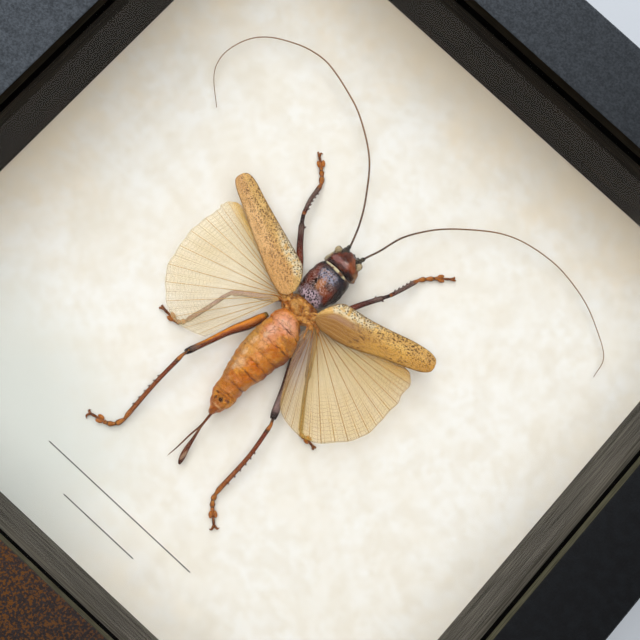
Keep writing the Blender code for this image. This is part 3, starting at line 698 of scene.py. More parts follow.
def ball(name, centre, radii, material, turn=0.0, segments=20):
    """An oval ball: a UV sphere stretched to three radii in millimetres and turned about Z."""
    bpy.ops.object.select_all(action="DESELECT")
    bpy.ops.mesh.primitive_uv_sphere_add(segments=segments, ring_count=segments // 2, radius=1.0,
                                         location=at(*centre), rotation=(0, 0, turn))
    made = bpy.context.active_object
    made.name = name
    made.scale = [r * MM for r in radii]
    apply_place(made)
    bpy.ops.object.shade_smooth()
    made.data.materials.append(material)
    return made


def tube(name, rows, material, flat=1.0, rings=4):
    """A tapered tube along rows of (x, y, height, radius), made from a bevelled curve."""
    bpy.ops.object.select_all(action="DESELECT")
    bpy.ops.curve.primitive_bezier_curve_add()
    made = bpy.context.active_object
    made.name = name
    made.location = (0, 0, 0)
    data = made.data
    data.splines.clear()
    spline = data.splines.new("POLY")
    spline.points.add(len(rows) - 1)
    for point, (x, y, height, radius) in zip(spline.points, rows):
        point.co = (*at(x, y, height), 1.0)
        point.radius = radius * MM
    data.bevel_depth = 1.0
    data.bevel_resolution = rings
    data.use_fill_caps = True
    bpy.ops.object.convert(target="MESH")
    made = bpy.context.active_object
    if flat != 1.0:
        edit_all()
        middle = at(0, 0, float(np.mean([row[2] for row in rows])))
        bpy.ops.transform.resize(value=(1.0, 1.0, flat), center_override=middle)
        bpy.ops.object.mode_set(mode="OBJECT")
    bpy.ops.object.shade_smooth()
    made.data.materials.clear()
    made.data.materials.append(material)
    return made


def join(name, parts):
    """Join meshes into one piece that keeps each part's material."""
    bpy.ops.object.select_all(action="DESELECT")
    for part in parts:
        part.select_set(True)
    bpy.context.view_layer.objects.active = parts[0]
    bpy.ops.object.join()
    parts[0].name = name
    apply_place(parts[0])
    return parts[0]


def stand_in(piece, node):
    """Let a piece take the place of a solid."""
    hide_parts(node)
    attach(piece, "root")
    print(f"{piece.name}: {len(piece.data.polygons)} faces, replaces {node}")


print("body helpers ready")

# %% [markdown]
# The abdomen is a chain of overlapping rings. Each ring's rear edge steps in a little before the
# next begins. Its colour goes from salmon pink at the front to orange, with olive-brown clouds on
# the right flank, brown seams at the rings, and a few dark hollows near the tip. A darker band low
# on the right flank is painted shade, and small pale spots along the left of the back are painted
# highlights.

# %% Abdomen finish
RING_EDGES = (-5.3, -11.3, -16.1, -19.6, -23.5, -28.4, -32.4)
RING_END = -35.6
PAPER_LIFT = paper_top / MM


def patches(place, colour, marks, grain=0.5):
    """Lay soft patches, each (colour, centre x, y, height, half sizes, strength), over a colour."""
    for shade, x, y, height, size, strength in marks:
        mask = use("soft_patch", {"Place": place, "Centre": (x, y, height + PAPER_LIFT), "Size": size,
                                  "Ragged": 0.9, "Grain": grain, "Edge": 0.4})
        colour = lay(times(mask, strength), colour, shade)
    return colour


belly_orange, shader, place = finish("belly_orange", 0.38, Coat_Weight=0.4, Coat_Roughness=0.1,
                                     Specular_IOR_Level=0.08)
broad = mottle(place, 0.28, 0.38, 0.62)
fine = mottle(place, 0.9, 0.48, 0.66)
colour = lay(broad, tone(198, 104, 14), tone(230, 154, 52))
colour = lay(fine, colour, tone(234, 160, 60), 0.5)
colour = patches(place, colour, (
    (tone(240, 164, 128), 0.0, -4.2, 12.3, (4.6, 3.2, 4.0), 0.9),
    (tone(244, 188, 160), 0.2, -4.6, 12.8, (2.6, 1.6, 2.6), 0.6),
    (tone(220, 142, 100), -1.9, -9.6, 12.8, (3.4, 3.6, 3.0), 0.75),
    (tone(234, 176, 146), -2.0, -8.6, 13.2, (1.6, 2.0, 2.0), 0.7),
    (tone(222, 160, 84), -3.4, -17.0, 12.0, (2.8, 5.6, 4.0), 0.7),
    (tone(232, 182, 136), -2.6, -22.8, 11.5, (1.8, 1.8, 3.0), 0.7),
    (tone(206, 158, 78), -5.4, -13.0, 9.0, (1.6, 5.0, 4.0), 0.6),
    (tone(226, 160, 110), -1.2, -13.4, 13.4, (1.6, 2.0, 2.0), 0.6),
    (tone(228, 156, 96), 0.6, -18.0, 13.0, (1.2, 1.6, 2.0), 0.45),
    # The next five small pale spots along the left of the back are painted highlights.
    (tone(238, 190, 142), -3.8, -14.4, 11.8, (0.9, 1.5, 1.6), 0.75),
    (tone(240, 196, 150), -3.6, -19.0, 11.2, (0.8, 1.3, 1.6), 0.75),
    (tone(242, 204, 166), -3.0, -24.6, 10.0, (0.7, 1.2, 1.6), 0.7),
    (tone(238, 190, 142), -1.9, -28.8, 9.6, (0.7, 1.1, 1.4), 0.6),
    (tone(242, 200, 164), -2.4, -11.0, 13.0, (0.8, 1.0, 1.4), 0.7),
    (tone(120, 66, 30), -4.9, -12.0, 10.6, (0.7, 0.35, 1.4), 0.6),
    (tone(120, 66, 30), -5.3, -17.2, 9.6, (0.6, 0.35, 1.4), 0.6),
    (tone(140, 84, 38), 5.0, -8.8, 10.5, (2.0, 2.0, 3.0), 0.35),
    (tone(120, 88, 62), 2.8, -8.4, 12.4, (1.4, 0.6, 1.6), 0.4),
    (tone(116, 84, 60), 5.2, -10.1, 10.6, (1.2, 0.5, 1.6), 0.4),
    # Painted shade: a darker band low along the right flank.
    (tone(138, 62, 6), 6.2, -15.6, 7.5, (2.4, 7.0, 3.5), 0.75),
    (tone(206, 108, 10), 2.6, -21.0, 10.0, (3.2, 8.0, 4.0), 0.6),
    (tone(168, 112, 30), -4.6, -26.0, 7.0, (2.4, 7.0, 3.5), 0.5),
    (tone(184, 104, 20), 0.0, -30.5, 9.0, (4.5, 3.6, 4.0), 0.6),
    (tone(150, 74, 18), 0.4, -36.4, 8.0, (3.6, 1.6, 3.0), 0.6),
), grain=0.8)
dents = mottle(place, 1.6, 0.6, 0.7)
colour = lay(dents, colour, tone(132, 64, 24), 0.6)
cracks = network(place, 0.62, 0.055)
broken = mottle(place, 0.55, 0.4, 0.6)
cracks = times(cracks, broken, 0.65)
colour = lay(cracks, colour, tone(132, 66, 22))
x, y, z = axes(place)
wander = noise(place, 0.45, 3.0)
bent = math_node("MULTIPLY_ADD", math_node("SUBTRACT", wander, 0.5), 1.8, y)
right_side = ramp(x, -3.0, 2.0, 0.3, 1.0)
for edge in RING_EDGES:
    away = gap(bent, edge - 0.2)
    seam = times(fade(away, 0.06, 0.34), math_node("MULTIPLY_ADD", broken, 0.5, 0.36), right_side)
    colour = lay(seam, colour, tone(104, 40, 10))
    pale = gap(bent, edge + 0.95)
    pale = times(ramp(pale, 0.1, 0.7, 0.22, 0.0), broken)
    colour = lay(pale, colour, tone(240, 184, 110))
colour = patches(place, colour, (
    (tone(46, 14, 8), 0.8, -35.0, 8.4, (0.9, 0.7, 1.2), 0.95),
    (tone(66, 22, 12), -0.9, -35.4, 8.4, (0.5, 0.7, 1.0), 0.9),
    (tone(92, 34, 14), 2.6, -34.0, 8.0, (0.9, 0.6, 1.2), 0.85),
    (tone(84, 32, 14), -1.4, -33.8, 8.5, (0.7, 0.4, 1.0), 0.85),
    (tone(120, 44, 20), 0.6, -33.4, 9.0, (1.6, 0.3, 1.0), 0.6),
    (tone(222, 176, 120), 1.5, -37.2, 8.0, (2.2, 0.35, 1.5), 0.6),
    (tone(140, 64, 26), 1.4, -39.2, 5.0, (1.4, 2.0, 3.0), 0.75),
), grain=1.2)
colour_in(shader, colour)
wrinkles = noise(place, 0.9, 5.0, 0.8)
bump(shader, math_node("MULTIPLY_ADD", cracks, -0.35, wrinkles), 1.1, 1.0)
print("belly_orange ready")

# %% Abdomen
ABDOMEN = [
    (-40.4, 1.4, 0.7, 3.5, 5.6), (-38.6, 1.2, 1.5, 3.0, 6.8), (-36.6, 0.9, 2.9, 2.2, 8.4),
    (-33.8, 0.7, 4.1, 1.4, 9.2), (-30.6, 0.2, 4.2, 1.0, 9.8), (-26.1, -0.1, 4.9, 0.7, 11.0),
    (-22.8, 0.1, 5.9, 0.4, 12.0), (-18.6, 0.1, 6.6, 0.3, 12.9), (-15.2, 0.3, 7.0, 0.3, 13.4),
    (-11.7, 0.8, 7.3, 0.3, 13.6), (-8.3, 0.6, 6.9, 0.4, 13.4), (-5.0, 0.2, 6.1, 0.7, 12.8),
    (-2.5, -0.5, 5.0, 1.4, 11.8), (-0.7, -0.9, 3.6, 2.6, 10.4), (0.4, -1.2, 1.6, 4.4, 8.4),
]
DENSE_ROWS = 400
# Two hollows near the tip, each (x, y, reach, depth), pressed into the back only.
HOLLOWS = ((0.8, -35.2, 1.5, 0.7), (-0.9, -35.2, 1.4, 0.5))
HOLLOW_HEIGHT, BACK_HEIGHT = 8.6, 6.0
dense = through(ABDOMEN, DENSE_ROWS)
dense = dense[np.argsort(dense[:, 0])]


def abdomen_station(y, shrink=0.0, rise=0.0):
    row = [float(np.interp(y, dense[:, 0], dense[:, column])) for column in range(5)]
    row[2] -= shrink
    row[3] += shrink
    row[4] += rise - shrink
    return row


stations = [abdomen_station(y) for y in (0.4, 0.0, -0.6, -1.4, -2.8, -4.0)]
for edge, after in zip(RING_EDGES, RING_EDGES[1:] + (RING_END,)):
    stations += [abdomen_station(edge + 0.75, -0.04, 0.04), abdomen_station(edge + 0.15, 0.0, 0.08),
                 abdomen_station(edge, 0.18), abdomen_station(edge - 0.3, 0.14)]
    for share in (0.3, 0.65):
        stations.append(abdomen_station(edge + (after - edge) * share))
stations += [abdomen_station(y) for y in (RING_END, -36.4, -37.4, -38.6, -39.6, -40.2, -40.4)]
abdomen = oval_body("abdomen_rings", stations, 32, belly_orange)
bpy.ops.object.mode_set(mode="EDIT")
for x, y, reach, depth in HOLLOWS:
    select_where(lambda middle, vert: (middle - at(x, y, HOLLOW_HEIGHT)).length < reach * MM
                 and middle.z > at(0, 0, BACK_HEIGHT).z)
    bpy.ops.transform.translate(value=(0, 0, -depth * MM))
bpy.ops.object.mode_set(mode="OBJECT")
soften(abdomen)
crumple(abdomen, 1.1, 1.9)
stand_in(abdomen, "abdomen")

# %% [markdown]
# Between the abdomen and the pronotum lies the short golden thorax, where the wings hinge. Its
# plates are rounded lumps with brown creases, so it is an oval body joined with stretched balls.
# Thin folded ridges run from it to the wing roots, as dried hinge skin does.

# %% Thorax
golden_shell, shader, place = finish("golden_shell", 0.38, Coat_Weight=0.18, Coat_Roughness=0.12,
                                     Specular_IOR_Level=0.08)
broad = mottle(place, 0.45, 0.36, 0.62)
colour = lay(broad, tone(172, 102, 30), tone(218, 160, 80))
sinks = mottle(place, 0.8, 0.54, 0.66)
colour = lay(sinks, colour, tone(138, 68, 18), 0.7)
colour = patches(place, colour, (
    (tone(120, 56, 20), -3.4, 4.9, 9.4, (1.2, 0.9, 2.0), 0.8),
    (tone(120, 58, 22), 2.8, 4.4, 9.4, (0.9, 1.0, 2.0), 0.8),
    (tone(60, 26, 12), -6.3, 0.2, 8.4, (0.5, 0.5, 1.5), 0.9),
    # Painted highlight: a pale patch on the top of the thorax.
    (tone(226, 178, 104), -1.9, 1.9, 10.4, (1.6, 1.0, 1.2), 0.5),
), grain=0.9)
creases = noise(place, 0.7, 2.0, 1.5)
crease = gap(creases, 0.5)
crease = fade(crease, 0.006, 0.04)
colour = lay(crease, colour, tone(96, 46, 14), 0.85)
colour_in(shader, colour)
bump(shader, math_node("MULTIPLY_ADD", crease, -0.4, creases), 0.5, 0.8)

THORAX = [(-1.4, -0.6, 3.9, 2.6, 8.6), (0.4, -0.6, 5.6, 1.8, 9.5), (2.4, -0.2, 6.3, 1.2, 10.0),
          (4.4, 0.0, 5.6, 1.4, 10.2), (6.2, 0.0, 4.4, 2.6, 10.0)]
# Each lump is (centre, three radii, turn).
LUMPS = [
    ((-1.5, 2.0, 9.2), (2.9, 2.3, 1.8), -0.25), ((-0.9, 4.3, 9.3), (3.2, 1.0, 1.4), -0.2),
    ((2.6, 3.0, 8.7), (2.2, 1.3, 1.2), 0.3), ((-4.8, 2.6, 8.5), (2.2, 1.2, 1.2), -0.4),
    ((4.9, 3.2, 8.6), (2.2, 1.2, 1.2), 0.5), ((5.0, 0.8, 8.2), (2.0, 1.1, 1.1), -0.5),
    ((-5.7, 0.9, 8.2), (2.2, 1.0, 1.0), 0.1), ((3.0, 0.5, 8.6), (1.9, 1.0, 1.1), 0.2),
    ((-3.7, 0.2, 8.4), (1.8, 0.9, 1.1), -0.3), ((0.6, -0.2, 8.6), (2.4, 0.9, 1.2), 0.0),
    ((-7.2, 2.2, 8.5), (2.4, 0.9, 0.8), 0.0), ((6.9, 2.0, 8.4), (2.4, 0.9, 0.8), -0.3),
]
# Each ridge is (radius, then points): three arches cross the back, the rest reach the wings.
RIDGES = [
    (0.30, (-3.5, 3.2, 10.0), (-1.6, 2.9, 10.9), (0.6, 3.3, 10.2)),
    (0.32, (-3.6, 2.2, 10.0), (-1.7, 1.8, 10.9), (0.7, 2.3, 10.2)),
    (0.30, (-3.4, 1.1, 9.8), (-1.6, 0.7, 10.5), (0.6, 1.2, 10.0)),
    (0.42, (-4.6, 3.4, 9.8), (-6.0, 5.2, 10.3), (-7.2, 8.6, 10.7)),
    (0.38, (-5.0, 2.8, 9.9), (-6.6, 4.4, 10.4), (-8.6, 7.0, 10.8)),
    (0.38, (-5.2, 2.2, 9.6), (-7.0, 3.2, 10.0), (-9.4, 4.8, 10.5)),
    (0.42, (-5.6, 1.6, 9.0), (-7.4, 2.0, 8.9), (-10.0, 2.0, 8.7)),
    (0.38, (-5.4, 0.9, 8.8), (-7.4, 0.9, 8.8), (-10.2, -0.2, 8.4)),
    (0.42, (3.6, 4.0, 9.8), (5.6, 5.0, 10.4), (8.0, 8.0, 10.8)),
    (0.38, (4.2, 3.4, 9.8), (6.2, 4.2, 10.5), (9.4, 6.2, 10.9)),
    (0.38, (4.6, 2.6, 9.6), (6.6, 3.2, 10.2), (10.0, 4.4, 10.6)),
    (0.42, (5.0, 1.8, 9.0), (7.0, 1.8, 9.0), (9.8, 0.2, 8.6)),
    (0.38, (5.2, 1.0, 8.8), (6.8, 0.6, 8.8), (8.8, -2.2, 8.5)),
    (0.34, (4.6, 0.4, 8.8), (5.8, -0.8, 8.7), (6.9, -3.8, 8.4)),
]
RIDGE_ROWS = 12
parts = [oval_body("thorax_plates", [tuple(map(float, row)) for row in through(THORAX, 9)], 24,
                   golden_shell)]
soften(parts[0])
parts += [ball("lump", centre, radii, golden_shell, turn) for centre, radii, turn in LUMPS]
for thick, *points in RIDGES:
    rows = through(points, RIDGE_ROWS).tolist()
    radii = np.interp(np.linspace(0, 1, RIDGE_ROWS), (0, 0.3, 1), (0.5, 1.0, 0.4)) * thick
    parts.append(tube("ridge", [(*row, float(r)) for row, r in zip(rows, radii)], golden_shell))
thorax = join("thorax_plates", parts)
crumple(thorax, 0.3, 1.2)
stand_in(thorax, "thorax")

# %% [markdown]
# The pronotum is a glossy saddle. It is nearly black with red-brown flanks, an orange-tan middle,
# a blue-black front and a mauve-grey rear lobe that is covered in dark pits. A coat layer gives the
# varnish-like shine, and a noise in the bump gives the fine wrinkles that break its highlights. A
# bluish-white net over the front and pale pink lines along the wrinkles on top are painted highlights.

# %% Pronotum
saddle_shell, shader, place = finish("saddle_shell", 0.3, Coat_Weight=0.35, Coat_Roughness=0.08,
                                     Specular_IOR_Level=0.06)
broad = mottle(place, 0.45, 0.4, 0.62)
colour = lay(broad, tone(14, 6, 6), tone(70, 24, 14))
colour = patches(place, colour, (
    (tone(116, 48, 28), -4.3, 13.4, 11.2, (1.5, 3.2, 2.6), 0.8),
    (tone(118, 44, 18), 4.2, 10.6, 11.6, (1.6, 2.2, 2.2), 0.85),
    (tone(12, 7, 9), 6.0, 12.6, 9.0, (2.2, 6.4, 3.8), 0.95),
    (tone(24, 26, 40), 1.0, 16.3, 13.2, (5.2, 2.4, 2.6), 0.95),
    (tone(188, 118, 66), -0.6, 12.4, 13.2, (1.2, 2.4, 1.6), 0.85),
    (tone(150, 78, 38), 1.6, 10.8, 13.0, (1.5, 1.5, 1.6), 0.8),
), grain=0.9)
# Painted highlights: a bluish-white net over the front.
front_reflection = use("soft_patch", {"Place": place, "Centre": (-0.6, 15.4, 13.2 + PAPER_LIFT),
                           "Size": (3.4, 1.9, 2.4), "Ragged": 1.2, "Grain": 1.2, "Edge": 0.4})
reflection_net = network(place, 1.15, 0.16)
colour = lay(times(front_reflection, reflection_net), colour, tone(150, 152, 176))
rear = use("soft_patch", {"Place": place, "Centre": (-0.4, 6.7, 12.4 + PAPER_LIFT),
                          "Size": (4.5, 2.6, 3.4), "Ragged": 1.3, "Grain": 0.9, "Edge": 0.35})
colour = lay(rear, colour, tone(178, 152, 162))
cells = cell_dots(place, 1.5)
pits = times(fade(cells, 0.26, 0.44), rear)
colour = lay(pits, colour, tone(26, 20, 28))
# Painted highlights: pale pink lines along the wrinkles on the top of the saddle.
wrinkles = noise(place, 0.42, 2.0, 2.6)
ridge = gap(wrinkles, 0.5)
ridge = fade(ridge, 0.012, 0.055)
bare = math_node("SUBTRACT", 1.0, rear)
dorsal = use("soft_patch", {"Place": place, "Centre": (-1.0, 13.0, 13.0 + PAPER_LIFT),
                            "Size": (4.6, 4.6, 3.0), "Ragged": 0.6, "Grain": 0.6, "Edge": 0.4})
ridge = times(ridge, bare, dorsal)
colour = lay(ridge, colour, tone(206, 170, 160), 0.8)
colour_in(shader, colour)
height = math_node("MULTIPLY_ADD", pits, -1.0, times(ridge, 0.6))
rough = noise(place, 1.3, 4.0, 1.0)
bump(shader, math_node("MULTIPLY_ADD", rough, 0.9, height), 0.4, 0.9)

collar_cream, shader, place = finish("collar_cream", 0.42, Coat_Weight=0.2, Specular_IOR_Level=0.15)
dirt = mottle(place, 0.55, 0.44, 0.58)
colour_in(shader, lay(dirt, tone(206, 192, 156), tone(104, 66, 40)))

# Body stations are (y, middle, half width, low, high).
PRONOTUM = [(5.7, 0.0, 2.6, 8.4, 11.4), (6.6, -0.3, 4.4, 6.4, 12.2), (8.9, -0.2, 5.6, 3.6, 12.8),
            (12.0, 0.2, 6.5, 2.2, 13.2), (15.0, 0.3, 6.5, 2.0, 13.3), (18.0, 0.3, 6.0, 2.0, 13.0),
            (19.3, 0.2, 5.2, 2.4, 12.7)]
# Two cross grooves, each (y, width, depth).
GROOVES = ((9.6, 0.5, 0.5), (15.2, 0.4, 0.35))
rows = [list(map(float, row)) for row in through(PRONOTUM, 19)]
for row in rows:
    groove = sum(depth * math.exp(-((row[0] - y) / width) ** 2) for y, width, depth in GROOVES)
    row[4] -= groove
    row[2] -= groove * 0.4
pronotum = oval_body("pronotum_saddle", rows, 36, saddle_shell)
soften(pronotum, 2)
crumple(pronotum, 0.7, 1.5)
COLLAR_RADIUS, COLLAR_STEPS = 5.5, 32
COLLAR_FROM, COLLAR_TO = math.radians(138), math.radians(40)
collar_rows = []
for step in range(COLLAR_STEPS + 1):
    share = step / COLLAR_STEPS
    angle = COLLAR_FROM + (COLLAR_TO - COLLAR_FROM) * share
    collar_rows.append((0.25 + COLLAR_RADIUS * math.cos(angle), 18.9 - 0.5 * share,
                        7.7 + COLLAR_RADIUS * math.sin(angle), 0.24 + 0.24 * math.sin(math.pi * share)))
collar = tube("collar", collar_rows, collar_cream)
stand_in(join("pronotum_saddle", [pronotum, collar]), "pronotum")

# %% [markdown]
# From above, the head shows its glossy red-brown crown, cream-olive cheeks and eyes at the sides,
# the two thick first joints of the antennae, and a small dark point between them. The palps are
# thin tubes below. The eyes are oval balls that sit half sunk in the head.

# %% Head
crown_shell, shader, place = finish("crown_shell", 0.3, Coat_Weight=0.38, Coat_Roughness=0.08,
                                    Specular_IOR_Level=0.06)
broad = mottle(place, 0.5, 0.38, 0.62)
colour = lay(broad, tone(34, 10, 6), tone(114, 46, 18))
colour = patches(place, colour, (
    # The pale pinkish patches on the top of the crown, the first, second and fourth here, are painted
    # highlights.
    (tone(150, 106, 104), -2.2, 21.9, 11.4, (1.9, 1.0, 1.6), 0.75),
    (tone(160, 120, 116), 1.0, 22.0, 12.2, (1.6, 0.8, 1.4), 0.7),
    (tone(166, 86, 42), 2.6, 23.8, 11.0, (2.2, 2.2, 2.0), 0.75),
    (tone(206, 176, 166), 0.9, 22.7, 12.2, (0.9, 0.5, 1.0), 0.7),
    (tone(176, 162, 118), -5.6, 21.6, 7.5, (1.3, 3.2, 3.6), 0.9),
    (tone(160, 104, 46), 6.0, 20.6, 7.5, (1.8, 3.4, 4.2), 0.9),
    (tone(22, 10, 12), 4.4, 19.8, 10.4, (2.0, 1.5, 2.4), 0.95),
    (tone(30, 13, 16), -2.6, 19.9, 11.2, (2.4, 1.0, 1.8), 0.85),
    (tone(64, 22, 14), 0.4, 24.0, 11.6, (1.8, 1.6, 1.4), 0.7),
    (tone(46, 22, 18), 0.2, 26.8, 6.0, (3.0, 1.0, 3.0), 0.8),
), grain=1.0)
streaks = noise(place, 0.8, 2.0, 2.0)
streak = gap(streaks, 0.5)
streak = ramp(streak, 0.012, 0.05, 0.7, 0.0)
colour = lay(streak, colour, tone(52, 18, 16))
colour_in(shader, colour)
bump(shader, noise(place, 0.9, 4.0), 0.7, 0.9)

olive_eye, shader, place = finish("olive_eye", 0.2, Coat_Weight=0.4, Specular_IOR_Level=0.2)
bands = mottle(place, 1.1, 0.45, 0.6)
colour_in(shader, lay(bands, tone(170, 152, 116), tone(84, 64, 42)))

dark_horn, shader, place = finish("dark_horn", 0.36, Coat_Weight=0.25, Specular_IOR_Level=0.12)
bands = mottle(place, 1.0, 0.4, 0.65)
colour_in(shader, lay(bands, tone(30, 26, 24), tone(74, 66, 54)))

HEAD = [(19.6, 0.4, 5.9, 2.2, 11.6), (20.6, 0.5, 6.2, 1.5, 12.1), (22.6, 0.4, 5.8, 0.9, 12.2),
        (24.6, 0.3, 4.9, 0.8, 11.6), (26.2, 0.3, 3.6, 1.2, 10.0), (27.2, 0.4, 1.8, 2.5, 7.6)]
head = oval_body("head_shell", [tuple(map(float, row)) for row in through(HEAD, 14)], 32, crown_shell)
soften(head)
crumple(head, 0.8, 1.8)
parts = [head]
EYES = ((-3.9, 24.5, 0.5), (4.3, 24.7, -0.5))
EYE_RADII, RIM_RADII = (1.25, 1.55, 1.5), (1.35, 1.7, 1.45)
for x, y, lean in EYES:
    parts.append(ball("eye", (x, y, 9.2), EYE_RADII, olive_eye, lean))
    parts.append(ball("eye_rim", (x * 0.93, y - 0.1, 8.9), RIM_RADII, dark_horn, lean))
SCAPES = (((-1.9, 24.4), (-2.2, 28.3)), ((2.7, 24.2), (4.0, 28.4)))
SCAPE_GIRTH = ((0, 0.85), (0.25, 1.15), (0.55, 1.10), (0.68, 0.60), (0.80, 0.75), (0.92, 0.68), (1.0, 0.42))
for (x, y), (tip_x, tip_y) in SCAPES:
    rows = [(x + (tip_x - x) * s, y + (tip_y - y) * s, 9.6 - 1.4 * s, r) for s, r in SCAPE_GIRTH]
    parts.append(tube("scape", rows, dark_horn))
parts.append(tube("brow", [(0.6, 24.9, 9.2, 0.9), (0.7, 26.0, 8.6, 0.7), (0.8, 26.8, 8.2, 0.55),
                           (0.8, 27.2, 8.0, 0.25)], dark_horn))
for x, lean in ((-1.4, -0.3), (1.8, 0.3)):
    parts.append(tube("palp", [(x, 26.0, 3.0, 0.35), (x + lean, 27.2, 2.8, 0.32),
                               (x + lean, 28.4, 3.0, 0.25)], dark_horn))
stand_in(join("head_shell", parts), "head")

# %% [markdown]
# The ovipositor is a pair of slender blades. The broad one widens to a flat spoon at its end, the
# thin one tapers to a point beside it. Both lie almost along Y, so they are drawn out as flat
# ovals, like the body.

# %% Ovipositor
blade_shell, shader, place = finish("blade_shell", 0.36, Coat_Weight=0.15, Coat_Roughness=0.12,
                                    Specular_IOR_Level=0.08)
broad = mottle(place, 0.5, 0.35, 0.65)
colour = lay(broad, tone(74, 32, 16), tone(108, 56, 28))
colour = patches(place, colour, (
    # The two pale patches, a stripe along the top of the blade and a spot on its spoon, are painted
    # highlights.
    (tone(150, 104, 66), 1.9, -46.0, 4.0, (0.3, 4.0, 1.0), 0.6),
    (tone(158, 128, 104), 3.9, -55.5, 2.8, (0.5, 1.8, 0.8), 0.75),
    (tone(62, 28, 18), 4.5, -58.0, 2.0, (1.0, 0.9, 1.0), 0.8),
))
colour_in(shader, colour)

# Rows are (x, y, height, half width, half depth).
OVIPOSITOR = {
    "ovipositor_blade": [
        (1.4, -39.4, 4.2, 0.60, 0.60), (1.5, -40.8, 3.9, 0.48, 0.48), (1.8, -45.0, 3.5, 0.40, 0.40),
        (2.6, -49.5, 3.1, 0.55, 0.40), (3.2, -53.0, 2.8, 0.85, 0.35), (3.9, -55.8, 2.4, 1.00, 0.35),
        (4.4, -57.6, 2.1, 0.75, 0.30), (4.7, -58.5, 2.0, 0.30, 0.20)],
    "ovipositor_stylet": [
        (1.4, -39.4, 5.2, 0.45, 0.45), (1.5, -40.8, 5.1, 0.35, 0.30), (1.65, -45.0, 4.8, 0.30, 0.28),
        (1.1, -49.7, 4.3, 0.28, 0.25), (0.8, -54.7, 3.7, 0.22, 0.20), (0.3, -58.8, 3.2, 0.10, 0.10)],
}
for node, knots in OVIPOSITOR.items():
    stations = [(y, x, wide, height - deep, height + deep)
                for x, y, height, wide, deep in through(knots, 26).tolist()]
    valve = oval_body(node + "_valve", stations, 12, blade_shell)
    soften(valve)
    stand_in(valve, node)

# %% [markdown]
# Wings are sheets, so they are drawn out from a single row of points. For the forewing that row is
# its chord, a shallow arc cut from a large circle, carried from the hinge to the tip while it is
# shifted, turned and stretched. A Solidify modifier gives the sheet its thickness. Three raised
# veins follow the wing.

# %% Helpers for wings
def draw_out(moves):
    """Extrude the selected row of points once for each (shift, turn, stretch, centre)."""
    for shift, turn, stretch, centre in moves:
        bpy.ops.mesh.extrude_edges_move(TRANSFORM_OT_translate={"value": shift})
        bpy.ops.transform.rotate(value=-turn, orient_axis="Z", center_override=centre)
        bpy.ops.transform.resize(value=stretch, center_override=centre)


def bow(name, start, end, sagitta, steps):
    """A row of points from start to end, cut from a big circle so that it arches upwards."""
    chord = (end - start).length
    half_angle = 2 * math.atan(2 * sagitta / chord)
    radius = chord / 2 / math.sin(half_angle)
    count = round(steps * math.pi / half_angle)
    bpy.ops.object.select_all(action="DESELECT")
    bpy.ops.mesh.primitive_circle_add(vertices=count, radius=radius, fill_type="NOTHING",
                                      rotation=(math.pi / 2, 0, 0))
    made = bpy.context.active_object
    made.name = name
    apply_place(made)
    bpy.ops.object.mode_set(mode="EDIT")
    limit = radius * math.cos((steps / 2 + 0.5) * 2 * math.pi / count)
    select_where(lambda middle, vert: middle.z < limit)
    bpy.ops.mesh.delete(type="VERT")
    bpy.ops.mesh.select_all(action="SELECT")
    base = radius * math.cos(half_angle)
    bpy.ops.transform.translate(value=(0, 0, -base))
    bpy.ops.object.mode_set(mode="OBJECT")
    along = end - start
    made.scale = (chord / made.dimensions.x,) * 3
    made.rotation_euler.z = math.atan2(along.y, along.x)
    made.location = (start + end) / 2
    apply_place(made)
    return made


def close_sheet(piece, thickness):
    """Turn a sheet outwards, thicken it and smooth it."""
    bpy.ops.object.mode_set(mode="EDIT")
    tidy_mesh(0.0001 * MM)
    bpy.ops.object.mode_set(mode="OBJECT")
    apply_modifier(piece, "SOLIDIFY", thickness=thickness * MM, offset=0.0)
    pick(piece)
    bpy.ops.object.shade_smooth()


def mark(piece, name, values):
    """Store one number per vertex, for the finish to read."""
    layer = piece.data.attributes.new(name, "FLOAT", "POINT")
    layer.data.foreach_set("value", np.asarray(values, dtype=np.float32))


def corners(piece):
    """All vertex places of a piece in millimetres."""
    spots = np.empty(len(piece.data.vertices) * 3, dtype=np.float32)
    piece.data.vertices.foreach_get("co", spots)
    return spots.reshape(-1, 3) / MM


def marked(place, name):
    return add("Attribute", tree=place.id_data, out="Fac", attribute_name=name)


print("wing helpers ready")

# %% [markdown]
# The forewing is leathery and tan, with small dark dashes along its length, and a whitish patch
# with a black network at the base of its front edge. Folds fan out from the hinge. Two numbers
# kept on each vertex steer the pattern: how far it lies along the wing, in millimetres, and its
# share of the way across, 0 at the rear edge and 1 at the front edge.

# %% Forewing finish
def wing_place(place, angle):
    """Coordinates turned so that X runs along the wing."""
    return add("Mapping", {"Vector": place, "Rotation": (0.0, 0.0, angle)}, vector_type="TEXTURE")


